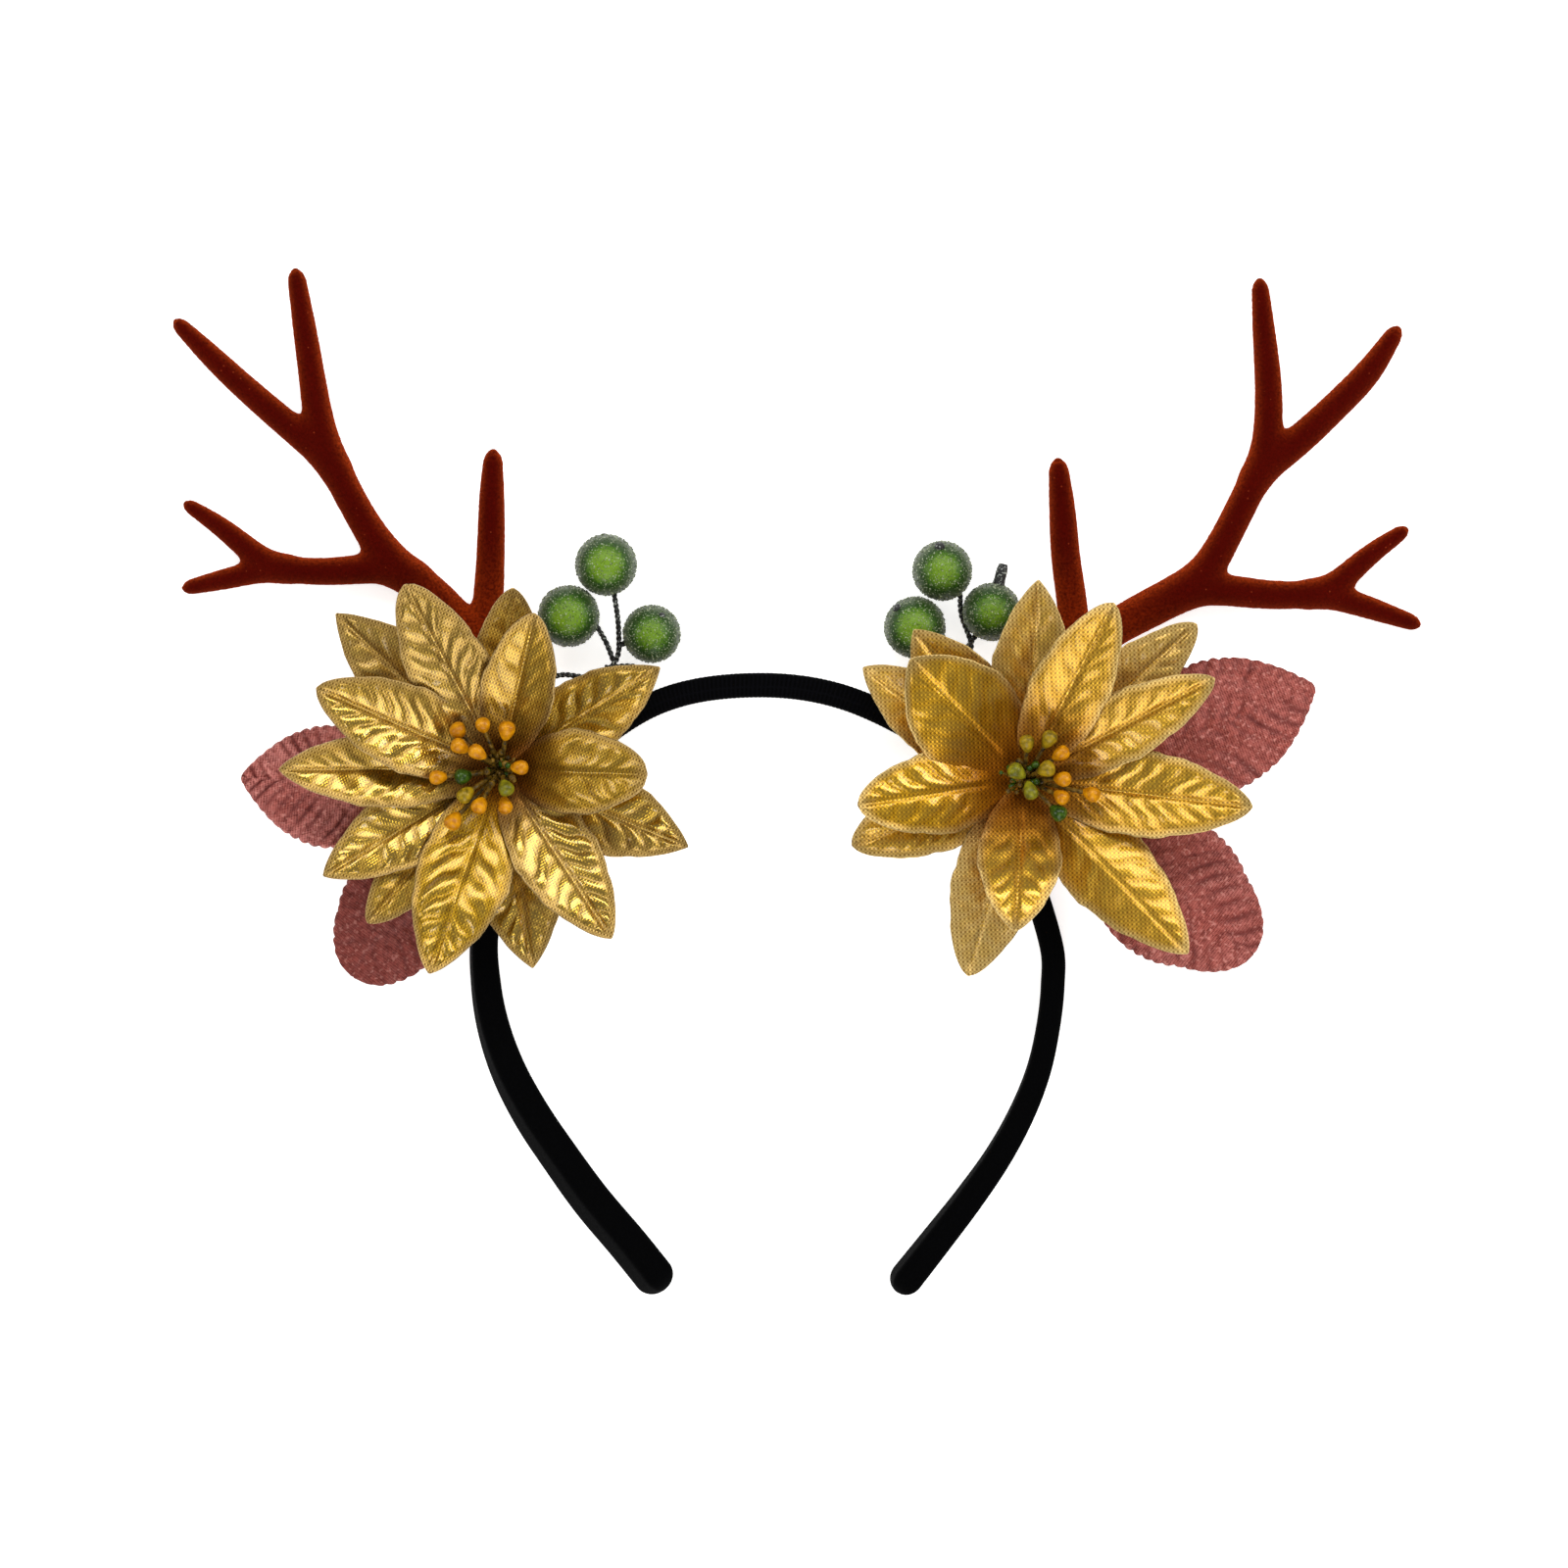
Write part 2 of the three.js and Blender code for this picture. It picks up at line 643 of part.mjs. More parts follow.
// The origin is the middle of the whole headband, on the surface that it lies on
const box = new THREE.Box3().setFromObject(headband);
const middle = box.getCenter(new THREE.Vector3());
headband.position.set(-middle.x, -middle.y, -box.min.z);

export default headband;
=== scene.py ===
import math

import bpy
import numpy as np
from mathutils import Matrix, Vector


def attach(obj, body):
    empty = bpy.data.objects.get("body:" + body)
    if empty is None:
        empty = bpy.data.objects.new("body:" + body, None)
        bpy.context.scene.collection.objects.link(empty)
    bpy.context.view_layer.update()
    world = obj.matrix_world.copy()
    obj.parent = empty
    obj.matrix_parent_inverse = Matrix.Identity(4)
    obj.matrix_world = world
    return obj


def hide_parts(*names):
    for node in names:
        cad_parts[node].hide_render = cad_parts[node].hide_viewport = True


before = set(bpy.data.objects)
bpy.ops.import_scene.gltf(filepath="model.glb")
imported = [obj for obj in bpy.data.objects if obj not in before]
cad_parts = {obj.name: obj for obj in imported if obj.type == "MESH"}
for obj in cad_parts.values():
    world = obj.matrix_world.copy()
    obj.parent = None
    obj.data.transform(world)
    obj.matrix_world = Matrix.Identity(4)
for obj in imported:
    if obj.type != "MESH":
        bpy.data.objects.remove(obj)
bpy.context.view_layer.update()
print("frame loaded:", len(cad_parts), "pieces")

mm = 0.001
hoopCentre = np.array([-6.73, -40.71, 0.0])  # tables below are millimetres from the hoop's centre
scene = bpy.context.scene


# An sRGB hex code as the linear colour that shaders take
def linearColour(hexCode):
    parts = [int(hexCode[i:i + 2], 16) / 255 for i in (1, 3, 5)]
    return [p / 12.92 if p <= 0.04045 else ((p + 0.055) / 1.055) ** 2.4 for p in parts] + [1.0]


# A socket takes another node's output, a number or a hex colour
def feed(tree, socket, value):
    if isinstance(value, bpy.types.NodeSocket):
        tree.links.new(value, socket)
    else:
        socket.default_value = linearColour(value) if isinstance(value, str) else value


def addNode(tree, kind, settings):
    node = tree.nodes.new("ShaderNode" + kind)
    for key, value in settings.items():
        if isinstance(key, str) and hasattr(node, key):
            setattr(node, key, value)
        else:
            feed(tree, node.inputs[key], value)
    return node


def calculate(tree, operation, *values):
    return addNode(tree, "Math", {"operation": operation, **dict(enumerate(values))}).outputs[0]


def blend(tree, share, first, second, kind="MIX"):
    settings = {"blend_type": kind, "Fac": share, "Color1": first, "Color2": second}
    return addNode(tree, "MixRGB", settings).outputs["Color"]


def rescale(tree, value, source, target=(0.0, 1.0)):
    ends = zip(("From Min", "From Max", "To Min", "To Max"), (*source, *target))
    return addNode(tree, "MapRange", {"Value": value, **dict(ends)}).outputs[0]


def noise(tree, where, scale, detail, **more):
    settings = {"Vector": where, "Scale": scale, "Detail": detail, **more}
    return addNode(tree, "TexNoise", settings).outputs["Fac"]


def specks(tree, where, scale):
    return addNode(tree, "TexVoronoi", {"Vector": where, "Scale": scale}).outputs["Distance"]


def bump(tree, height, strength, depth):
    settings = {"Height": height, "Strength": strength, "Distance": depth * mm}
    return addNode(tree, "Bump", settings).outputs["Normal"]


def objectPlace(tree):
    return addNode(tree, "TexCoord", {}).outputs["Object"]


# A mesh attribute, whole and as its three parts
def marked(tree, name):
    vector = addNode(tree, "Attribute", {"attribute_name": name}).outputs["Vector"]
    return vector, addNode(tree, "SeparateXYZ", {0: vector}).outputs


def paint(tree, sockets):
    shader = tree.nodes["Principled BSDF"]
    for key, value in sockets.items():
        feed(tree, shader.inputs[key], value)


def startFinish(name, sockets):
    finish = bpy.data.materials.new(name)
    finish.use_nodes = True
    paint(finish.node_tree, sockets)
    return finish, finish.node_tree


# Camera straight above the headband, far enough off for nearly parallel sight lines
photoView = {
    "middle": (-2.88, -0.09),  # row point in the middle of the frame, mm
    "frameWidth": 342.08,  # mm across the frame at the flowers' height
    "flowerHeight": 15,
    "distance": 2.4,
    "sensor": 36,
}
camera = bpy.data.cameras.new("photoCamera")
camera.sensor_width = photoView["sensor"]
camera.lens = photoView["sensor"] * photoView["distance"] / (photoView["frameWidth"] * mm)
cameraObject = bpy.data.objects.new("photoCamera", camera)
cameraObject.location = (
    photoView["middle"][0] * mm,
    photoView["middle"][1] * mm,
    photoView["flowerHeight"] * mm + photoView["distance"],
)
scene.collection.objects.link(cameraObject)
scene.camera = cameraObject

# Soft studio: a long box beyond the antler tips, one low on the near side, two low at the sides
# and a small one by the camera
studio = {
    "worldGrey": 0.28,
    "floorSize": 6.0,
    "floorGlow": 0.7,
    "boxes": [  # place in metres, width, depth, watts
        ("softBoxFar", (0.0, 0.8, 0.95), 1.7, 0.5, 10.0),
        ("softBoxNear", (0.0, -1.0, 0.72), 0.9, 1.0, 8.0),
        ("softBoxRight", (0.98, 0.34, 0.68), 0.5, 0.5, 4.2),
        ("softBoxLeft", (-1.05, 0.15, 0.55), 0.45, 0.45, 2.4),
        ("softBoxCamera", (0.15, -0.42, 1.7), 0.4, 0.4, 2.5),
    ],
}
world = bpy.data.worlds.new("paleStudio")
world.use_nodes = True
sky = world.node_tree.nodes["Background"]
sky.inputs["Color"].default_value = (1, 1, 1, 1)
sky.inputs["Strength"].default_value = studio["worldGrey"]
scene.world = world
aim = Vector((0, 0, photoView["flowerHeight"] * mm))
for name, spot, width, depth, watts in studio["boxes"]:
    lamp = bpy.data.lights.new(name, "AREA")
    lamp.shape = "RECTANGLE"
    lamp.size = width
    lamp.size_y = depth
    lamp.energy = watts
    lampObject = bpy.data.objects.new(name, lamp)
    lampObject.location = spot
    lampObject.visible_camera = False
    lampObject.rotation_mode = "QUATERNION"
    lampObject.rotation_quaternion = (aim - Vector(spot)).to_track_quat("-Z", "Y")
    scene.collection.objects.link(lampObject)
scene.view_settings.view_transform = "Standard"

# Matt white card: its own faint light keeps the shadows pale
card = startFinish("mattWhiteCard", {
    "Base Color": "#f3f3f1",
    "Roughness": 0.9,
    "Emission Color": (1, 1, 1, 1),
    "Emission Strength": studio["floorGlow"],
})[0]
floorReach = studio["floorSize"] / 2
floorCorners = [(x * floorReach, y * floorReach, 0) for x, y in ((-1, -1), (1, -1), (1, 1), (-1, 1))]
floorMesh = bpy.data.meshes.new("floorCard")
floorMesh.from_pydata(floorCorners, [], [(0, 1, 2, 3)])
floorMesh.materials.append(card)
floorCard = bpy.data.objects.new("floorCard", floorMesh)
scene.collection.objects.link(floorCard)
print("stage ready")


def smooth(x):
    x = np.clip(x, 0, 1)
    return x * x * (3 - 2 * x)


def unit(rows, floor=0.0):
    return rows / (np.linalg.norm(rows, axis=-1, keepdims=True) + floor)


def addPiece(name, shape, finish, nodes, marks=None):
    points, faces = shape
    mesh = bpy.data.meshes.new(name)
    mesh.from_pydata(((points + hoopCentre) * mm).tolist(), [], faces)
    mesh.polygons.foreach_set("use_smooth", [True] * len(mesh.polygons))
    for key, values in (marks or {}).items():
        data = mesh.attributes.new(key, "FLOAT_VECTOR", "POINT").data
        data.foreach_set("vector", np.asarray(values, np.float32).ravel())
    mesh.materials.append(finish)
    piece = bpy.data.objects.new(name, mesh)
    scene.collection.objects.link(piece)
    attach(piece, "root")
    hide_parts(*nodes)
    print(name, "has", len(mesh.polygons), "faces")
    return piece


def gather(shapes):
    points, faces, offset = [], [], 0
    for some, sides in shapes:
        points.append(some)
        faces += [[corner + offset for corner in face] for face in sides]
        offset += len(some)
    return np.concatenate(points), faces


# One piece of several finishes: each part comes with the number of its own
def addMixed(name, parts, finishes, nodes):
    piece = addPiece(name, gather([shape for shape, _ in parts]), finishes[0], nodes)
    for finish in finishes[1:]:
        piece.data.materials.append(finish)
    chosen = np.concatenate([np.full(len(shape[1]), number) for shape, number in parts])
    piece.data.polygons.foreach_set("material_index", chosen.astype(np.int32))
    return piece, chosen


def gridFaces(rows, columns, closed=False):
    faces = []
    for i in range(rows - 1):
        for j in range(columns if closed else columns - 1):
            k = (j + 1) % columns
            faces.append([i * columns + j, i * columns + k, (i + 1) * columns + k, (i + 1) * columns + j])
    return faces


# Rings of a long skin, closed at both ends by fans round two points kept after the rings
def closedFaces(rings, sides):
    faces = gridFaces(rings, sides, closed=True)
    first, last = rings * sides, (rings - 1) * sides
    for j in range(sides):
        k = (j + 1) % sides
        faces += [[first, k, j], [first + 1, last + j, last + k]]
    return faces


# Centripetal curve through every row; columns after the third, such as radii, go along with it
def curveThrough(rows, steps):
    rows = np.asarray(rows, float)
    ends = np.concatenate([[2 * rows[0] - rows[1]], rows, [2 * rows[-1] - rows[-2]]])
    found = []
    for i in range(1, len(rows)):
        a, b, c, d = ends[i - 1:i + 3]
        first = np.linalg.norm((b - a)[:3]) ** 0.5
        second = first + np.linalg.norm((c - b)[:3]) ** 0.5
        third = second + np.linalg.norm((d - c)[:3]) ** 0.5
        for t in first + (second - first) * np.arange(steps) / steps:
            ab = a + (b - a) * t / first
            bc = b + (c - b) * (t - first) / (second - first)
            cd = c + (d - c) * (t - second) / (third - second)
            abc = ab + (bc - ab) * t / second
            bcd = bc + (cd - bc) * (t - first) / (third - first)
            found.append(abc + (bcd - abc) * (t - first) / (second - first))
    return np.array(found + [rows[-1]])


def evenly(path, spacing):
    run = np.concatenate([[0], np.cumsum(np.linalg.norm(np.diff(path[:, :3], axis=0), axis=1))])
    at = np.linspace(0, run[-1], max(2, int(round(run[-1] / spacing)) + 1))
    return np.stack([np.interp(at, run, path[:, k]) for k in range(path.shape[1])], axis=1), at


def crossAxes(path):
    ahead = unit(np.gradient(path, axis=0))
    steep = np.abs(ahead[:, 2:]) > 0.9
    left = unit(np.cross(np.where(steep, [[0, 1, 0]], [[0, 0, 1]]), ahead))
    return left, np.cross(ahead, left)


def tube(path, radius, sides):
    path = np.asarray(path, float)
    radius = np.broadcast_to(radius, len(path))[:, None, None]
    left, up = crossAxes(path)
    turn = np.arange(sides)[None, :, None] * 2 * np.pi / sides
    rings = path[:, None] + radius * (np.cos(turn) * left[:, None] + np.sin(turn) * up[:, None])
    points = np.concatenate([rings.reshape(-1, 3), path[:1], path[-1:]])
    return points, closedFaces(len(path), sides)


def ballShape(middle, radius, rings, sides):
    lean = np.linspace(0.03, np.pi - 0.03, rings)
    path = middle + np.outer(-radius * np.cos(lean), [0, 0, 1])
    return tube(path, radius * np.sin(lean), sides)


# A sheet with rows and columns of odd count: the underside keeps every second point
def thickSheet(top, wall):
    rows, columns = top.shape[:2]
    normal = unit(np.cross(np.gradient(top, axis=0), np.gradient(top, axis=1)), 1e-12)
    normal *= np.sign(normal[:, :, 2:] + 1e-9)
    upper = (top + normal * wall / 2).reshape(-1, 3)
    lower = (top - normal * wall / 2)[::2, ::2].reshape(-1, 3)
    index = np.arange(rows * columns).reshape(rows, columns)
    kept = index[::2, ::2]
    below = {int(point): len(upper) + k for k, point in enumerate(kept.ravel())}
    faces = [face[::-1] for face in gridFaces(rows, columns)]
    faces += [[corner + len(upper) for corner in face] for face in gridFaces(*kept.shape)]
    edge = np.concatenate([index[0], index[1:, -1], index[-1, -2::-1], index[-2:0:-1, 0]]).tolist()
    for k in range(0, len(edge), 2):
        first, between, second = edge[k], edge[k + 1], edge[(k + 2) % len(edge)]
        faces.append([first, between, second, below[second], below[first]])
    return np.concatenate([upper, lower]), faces


def bothSides(*values):
    values = np.stack(values, axis=2)
    return np.concatenate([values.reshape(-1, 3), values[::2, ::2].reshape(-1, 3)])


def turned(centre, angle, along, across):
    swing = math.radians(angle)
    x = centre[0] + along * math.cos(swing) - across * math.sin(swing)
    y = centre[1] + along * math.sin(swing) + across * math.cos(swing)
    return x, y


# Small waves that cross the cloth in all directions
def crumple(along, across, dice, count, lengths):
    total = 0.0
    for _ in range(count):
        swing, length = dice.uniform(0, np.pi), dice.uniform(*lengths)
        run = along * np.cos(swing) + across * np.sin(swing)
        total = total + np.sin(2 * np.pi * run / length + dice.uniform(0, 6))
    return total


# Lame: flat metallised film woven with fine nylon, heat pressed between ribbed plates.
# The pressed ribs flash like foil, the edge left unpressed stays a dull woven gold.
def goldLame(name, look):
    finish, tree = startFinish(name, {"Metallic": look["metal"], "Coat Roughness": 0.12, "Coat IOR": 1.65})
    cloth, place = marked(tree, "clothAt")
    foil, fray, paintedCentreShade = marked(tree, "clothMask")[1]
    gold = marked(tree, "clothEdge")[1]["X"]
    # plain weave: threads lie half a period apart and pass over and under by turns
    waves = []
    for axis, period in zip("XY", look["weaveMm"]):
        turn = calculate(tree, "MULTIPLY", place[axis], 2 * math.pi / period)
        waves.append(calculate(tree, "SINE", turn))
    weave = calculate(tree, "MULTIPLY", *waves)
    warped = calculate(tree, "MULTIPLY_ADD", waves[0], look["warp"], weave)
    glitter = noise(tree, cloth, scale=1.4, detail=1.0)
    spread = rescale(tree, glitter, (0.3, 0.7), (-look["glitter"], look["glitter"]))
    ribbed = calculate(tree, "ADD", warped, spread)
    grain = noise(tree, cloth, scale=0.35, detail=3.0, Roughness=0.6)
    film = blend(tree, grain, look["deep"], look["film"])
    ground = blend(tree, gold, look["margin"], look["deep"])
    pressed = blend(tree, foil, ground, film)
    lit = rescale(tree, ribbed, (-1.3, 0.9), (look["yarn"], 1.0))
    flat = calculate(tree, "MULTIPLY", foil, 0.6)
    threads = blend(tree, calculate(tree, "MAXIMUM", lit, flat), look["shade"], pressed)
    # painted shade: the cloth is darkened towards the flower's centre
    shaded = blend(tree, paintedCentreShade, threads, look["paintedCentreShade"], "MULTIPLY")
    dull = rescale(tree, foil, (0.0, 1.0), (look["marginRough"], look["filmRough"]))
    paint(tree, {
        "Base Color": blend(tree, fray, shaded, look["fray"]),
        # the clear film over the metal whitens the brightest flashes
        "Coat Weight": calculate(tree, "MULTIPLY", foil, look["clear"]),
        "Roughness": calculate(tree, "MULTIPLY_ADD", grain, 0.12, dull),
        "Normal": bump(tree, ribbed, strength=look["bump"], depth=0.04),
    })
    return finish


# Petals: direction, reach, width, tip rise, fold of the edges, roll of the left edge,
# lift over the neighbours, depth of the pressed ribs, buckle across the middle, roundness of the tip,
# shine, droop of the tip, gold of the cloth between the ribs,
# half that carries the foil (left above zero, right below)
leftFlower = {
    "centre": (-57.9, 43.8),
    "seed": 5,
    "threadTurn": -18,
    "ribPitch": 4.6,
    "ribDepth": 0.6,
    "margin": 2.2,
    "centreShadeReach": 12,
    "lame": {
        "metal": 0.9, "weaveMm": (0.7, 0.91), "warp": 0.5, "glitter": 0.3, "yarn": 0.02, "bump": 0.42,
        "film": "#f0c84e", "deep": "#c89a14", "margin": "#c09f5c", "shade": "#563604",
        "paintedCentreShade": "#a87022", "fray": "#c2a878", "marginRough": 0.4, "filmRough": 0.14, "clear": 0.9,
    },
    "back": [
        (136.6, 49.4, 19, 4, 1.2, 0, 0.2, 0.5, 0.2, 0, 0.4, 0.5, 0.1, 0),
        (86, 39.6, 16.5, 7, 0.8, 0.5, 0, 0.5, 0.3, 0.5, 0.3, 0.8, 0.5, 0),
        (32.6, 41.2, 17, 6, -0.8, 0.6, 0, 0.7, 0.3, 0, 0.7, 0.6, 0.7, 0),
        (337.6, 44.2, 18.4, 5, 0.8, 0, 0.3, 1.1, 0.2, 0, 1, 1, 0.2, 0.6),
        (279.2, 43.8, 20, 5, 0.8, 0.5, 0.2, 1, 0.4, 0, 1, 1, 0.3, -0.5),
        (229, 44.3, 15.5, 4, 0.8, 0, 0, 0.4, 0.2, 0.5, 0.5, 0.8, 0.6, 0),
        (211, 45, 17.2, 6, 1, 0, 0.9, 1, 0.3, 0.2, 1, 1.2, 0.5, 0),
    ],
    "front": [
        (117, 44.9, 18, 17, 0.8, -0.8, 1.8, 0.9, 0.3, 0.7, 0.5, 2, 0.2, 0.4),
        (77, 34.6, 16, 21, 1.2, -0.6, 0.9, 0.6, 0.2, 0.6, 0.5, 1, 0.7, 0.6),
        (358, 32.2, 18.5, 22, 0.8, 0, 1, 0.8, 0.3, 0.9, 0.5, 2.2, 0.8, 0.3),
        (303.6, 44, 18, 15, 1, -0.6, 0.2, 1.2, 0.2, 0.3, 1, 1.2, 0.2, 0),
        (251, 46.8, 20.5, 15, -0.4, 0.6, 0.9, 1.25, 0.9, 0.25, 0.65, 3, 1, 0),
        (180, 47.9, 16.5, 12, 1.9, 0.3, 0, 0.35, 0.3, 0.3, 1, 1.5, 0.4, 0.9),
        (156, 43.4, 18.6, 15, 2.2, 0.4, 1, 0.8, 0.3, 0.5, 1, 2.2, 0.4, 0.6),
    ],
}
rightFlower = {
    "centre": (56.2, 41.7),
    "seed": 9,
    "threadTurn": 4,
    "ribPitch": 4.8,
    "ribDepth": 0.45,
    "margin": 2.4,
    "centreShadeReach": 20,
    "lame": {
        "metal": 0.88, "weaveMm": (0.93, 0.93), "warp": 0.45, "glitter": 0.15, "yarn": 0.1, "bump": 0.42,
        "film": "#f4c638", "deep": "#d8a214", "margin": "#d8b972", "shade": "#6c4406",
        "paintedCentreShade": "#c48e34", "fray": "#d8bd80", "marginRough": 0.4, "filmRough": 0.22, "clear": 0.7,
    },
    "back": [
        (42, 50.5, 16, 5, 0.8, 0, 0.2, 0.7, 0.2, 0.6, 0.3, 0.6, 0.1, 0),
        (86, 43.4, 17.6, 7, 1.4, 0.4, 0.3, 0.3, 0.2, 0.1, 0.5, 0.6, 0.3, 0),
        (126.5, 40.4, 18.6, 6, 0.8, 0, 0.2, 0.3, 0.2, 0.2, 0.5, 0.5, 0.6, 0),
        (145.3, 42.7, 17, 4, 0.8, 0.4, 0, 0.2, 0.2, 0.2, 0.5, 0.5, 0.4, 0),
        (201, 40.3, 17, 5, 0.8, -0.5, 0, 0.6, 0.2, 0.6, 0.7, 1, 0.6, 0),
        (254, 44.6, 18.4, 5, 0.8, 0, 0, 0.2, 0.2, 0.5, 0.3, 0.8, 0, 0),
        (310, 44, 11, 4, 0.8, 0, 0, 0.4, 0.2, 0.2, 0.5, 0.5, 0.8, 0),
    ],
    "front": [
        (28, 46.4, 15, 16, 1.8, -0.4, 1.2, 0.8, 0.2, 0.5, 0.8, 1.4, 0.7, -0.7),
        (63.5, 42.5, 17, 20, 0.6, 0, 1.6, 0.4, 0.3, 0.6, 0.45, 1.2, 0.8, 0),
        (134, 36, 24, 20, -0.5, 0.6, 0.4, 0.5, 0.5, 0.2, 0.6, 2, 0.95, 0),
        (188.8, 36.8, 18, 17, -0.8, -0.8, 0.4, 1, 0.3, 0.7, 0.8, 2.2, 1, -0.4),
        (266, 33, 18, 20, 0.8, 0, 0.4, 0.9, 0.3, 0.2, 1, 1.2, 0.8, 0),
        (313, 51.7, 19, 14, -1.6, 0.6, 0.3, 0.5, 0.4, 0.3, 0.7, 1.5, 0.8, 0.5),
        (353, 49.7, 18.8, 14, 1.6, 0.3, 0, 1, 0.2, 0.5, 0.8, 2, 0.8, 0.4),
    ],
}
petalForm = {
    "start": 2.5,
    "hubRings": (0.0, 2.2, 4.5),
    "hubSides": 32,
    "backLevel": 14.05,
    "frontLevel": 15.8,
    "wall": 0.3,
    "alongSteps": 101,
    "acrossSteps": 49,
    "edgeWaver": 0.2,
    "edgeWaves": (11.0, 5.3, 2.9),
    "pressedFrom": 9,  # along the petal; the ribs grow out of the plain foot over the next length
    "pressedOver": 7,
    "plainTip": 5,
    "ribSlant": 0.95,
    "ribGap": 0.6,  # from the midrib to the ribs
    "ribCells": 32,
    "dotPitch": 0.95,  # pressed dots along the midrib
    "dotReach": 0.5,
    "dotHeight": 0.1,
    "midribDepth": 0.4,
    "midribReach": 0.6,
    "edgeCurl": 0.5,
    "crumpleHeight": 0.06,
    "crumpleWaves": 5,
    "crumpleLengths": (4, 9),
    "frayReach": 0.4,
    "frayPale": 0.35,
    "throatShade": 0.9,
    "hubGold": 0.85,
    "flatShare": 1.85,  # width of a layer laid flat, in reaches of its longest petal
}


def petalShape(flower, row, level, dice):
    angle, reach, width, rise, fold, roll, lift, ribs, buckle, roundness, shine, droop, gold, foilSide = row
    form = petalForm
    u = np.linspace(0, 1, form["alongSteps"])[:, None]
    v = np.linspace(-1, 1, form["acrossSteps"])[None, :]
    side = np.where(v < 0, 0, 1)
    along = form["start"] + (reach - form["start"]) * u + 0 * v
    # a lens with a narrow foot, blunter towards a rounded tip
    arch = np.sin(np.pi * u)
    blunt = 0.8 - 0.35 * roundness * smooth((u - 0.4) / 0.6)
    body = 0.97 * arch.clip(1e-9) ** blunt + 0.3 * (1 - u) ** 3
    bell = arch.clip(0) ** 1.3
    # cut by hand after pressing, so the edge wavers a little and each side in its own way
    snips = np.random.default_rng(int(10 * angle))
    waver = 0.0
    for wave in form["edgeWaves"]:
        swing = snips.uniform(0, 6, 2)[side]
        waver = waver + wave / form["edgeWaves"][0] * np.sin(2 * np.pi * along / wave + swing)
    half = width / 2 * np.maximum(body, 0.025) + form["edgeWaver"] * waver * bell
    across = v * half
    fromEdge, fromTip = half - np.abs(across), reach - along
    inside = smooth(fromEdge / flower["margin"]) * smooth(fromTip / form["plainTip"])
    pressed = inside * smooth((along - form["pressedFrom"]) / form["pressedOver"])
    # rounded welts run from the midrib outwards and to the tip, foil on top, cloth between
    pitch = flower["ribPitch"] * dice.uniform(0.9, 1.12)
    wander = 0.1 * np.sin(along / 3.1 + dice.uniform(0, 6)) + 0.1 * np.sin(across * 1.3 + dice.uniform(0, 6))
    beat = (along - form["ribSlant"] * np.abs(across)) / pitch + dice.uniform(8, 9, 2)[side] + wander
    cell = np.clip(np.floor(beat), 0, form["ribCells"] - 1).astype(int)
    depth = dice.uniform(0.35, 1.25, (2, form["ribCells"]))[side + 0 * cell, cell]
    ribLength = np.maximum(half - 0.7 * flower["margin"] - form["ribGap"], 0.5)
    share = np.clip((np.abs(across) - form["ribGap"]) / ribLength, 0, 1)
    welt = np.sin(np.pi * (beat - cell)) * np.sqrt(4 * share * (1 - share)).clip(0, 1)
    relief = flower["ribDepth"] * ribs * pressed * depth * welt
    foiled = np.clip(1 + 1.6 * foilSide * v, 0, 1)
    foil = pressed * shine * foiled * (0.3 + 0.7 * smooth(1.5 * welt - 0.15))
    dots = pressed * np.cos(2 * np.pi * along / form["dotPitch"]) * np.exp(-(across / form["dotReach"]) ** 2)
    foil = np.maximum(foil, dots)
    midrib = np.exp(-(across / form["midribReach"]) ** 2) * smooth((along - 6) / 4) * smooth(fromTip / 3)
    # the bent shape of the cloth: rising, folded along the midrib, buckled, curled and a little crumpled
    bow = buckle * np.sin(2 * np.pi * (1.4 * u + dice.uniform(0, 1)) + 1.2 * v)
    edgeCurl = form["edgeCurl"] * np.abs(v) ** 4 * np.sin(5 * u + dice.uniform(0, 6))
    small = form["crumpleHeight"] * crumple(along, across, dice, form["crumpleWaves"], form["crumpleLengths"])
    z = level + rise * u ** 1.15 + lift * smooth(2.5 * u) - droop * smooth((u - 0.6) / 0.4)
    z = z + (1.5 * fold * np.abs(v) + 1.3 * roll * v + bow + edgeCurl + small) * bell
    z = z + relief - form["midribDepth"] * midrib + form["dotHeight"] * dots
    x, y = turned(flower["centre"], angle, along, across)
    flatX, flatY = turned((0, 0), -flower["threadTurn"], x - flower["centre"][0], y - flower["centre"][1])
    tone = np.full_like(x, dice.uniform(0, 40))
    # painted shade, strongest at the foot of the petal and fading further out
    paintedCentreShade = form["throatShade"] * (1 - smooth((along - 4) / flower["centreShadeReach"])) + 0 * v
    fray = form["frayPale"] * (1 - smooth(fromEdge / form["frayReach"])) * smooth((along - 8) / 6)
    clothEdge = bothSides(gold * inside, 0 * x, 0 * x)
    marks = bothSides(flatX, flatY, tone), bothSides(foil, fray, paintedCentreShade), clothEdge
    bothHalves = half[:, 0] + half[:, -1]
    flatArea = float(np.sum((bothHalves[1:] + bothHalves[:-1]) / 2 * np.diff(along[:, 0])))
    return thickSheet(np.stack([x, y, z], axis=2), form["wall"]), marks, flatArea


def hubDisc(flower, level):
    sides = petalForm["hubSides"]
    turn = np.append(np.arange(sides) * 2 * np.pi / sides, 0.0)[None, :]
    radius = np.array(petalForm["hubRings"])[:, None]
    x = flower["centre"][0] + radius * np.cos(turn)
    y = flower["centre"][1] + radius * np.sin(turn)
    return thickSheet(np.stack([x, y, 0 * x + level], axis=2), petalForm["wall"])


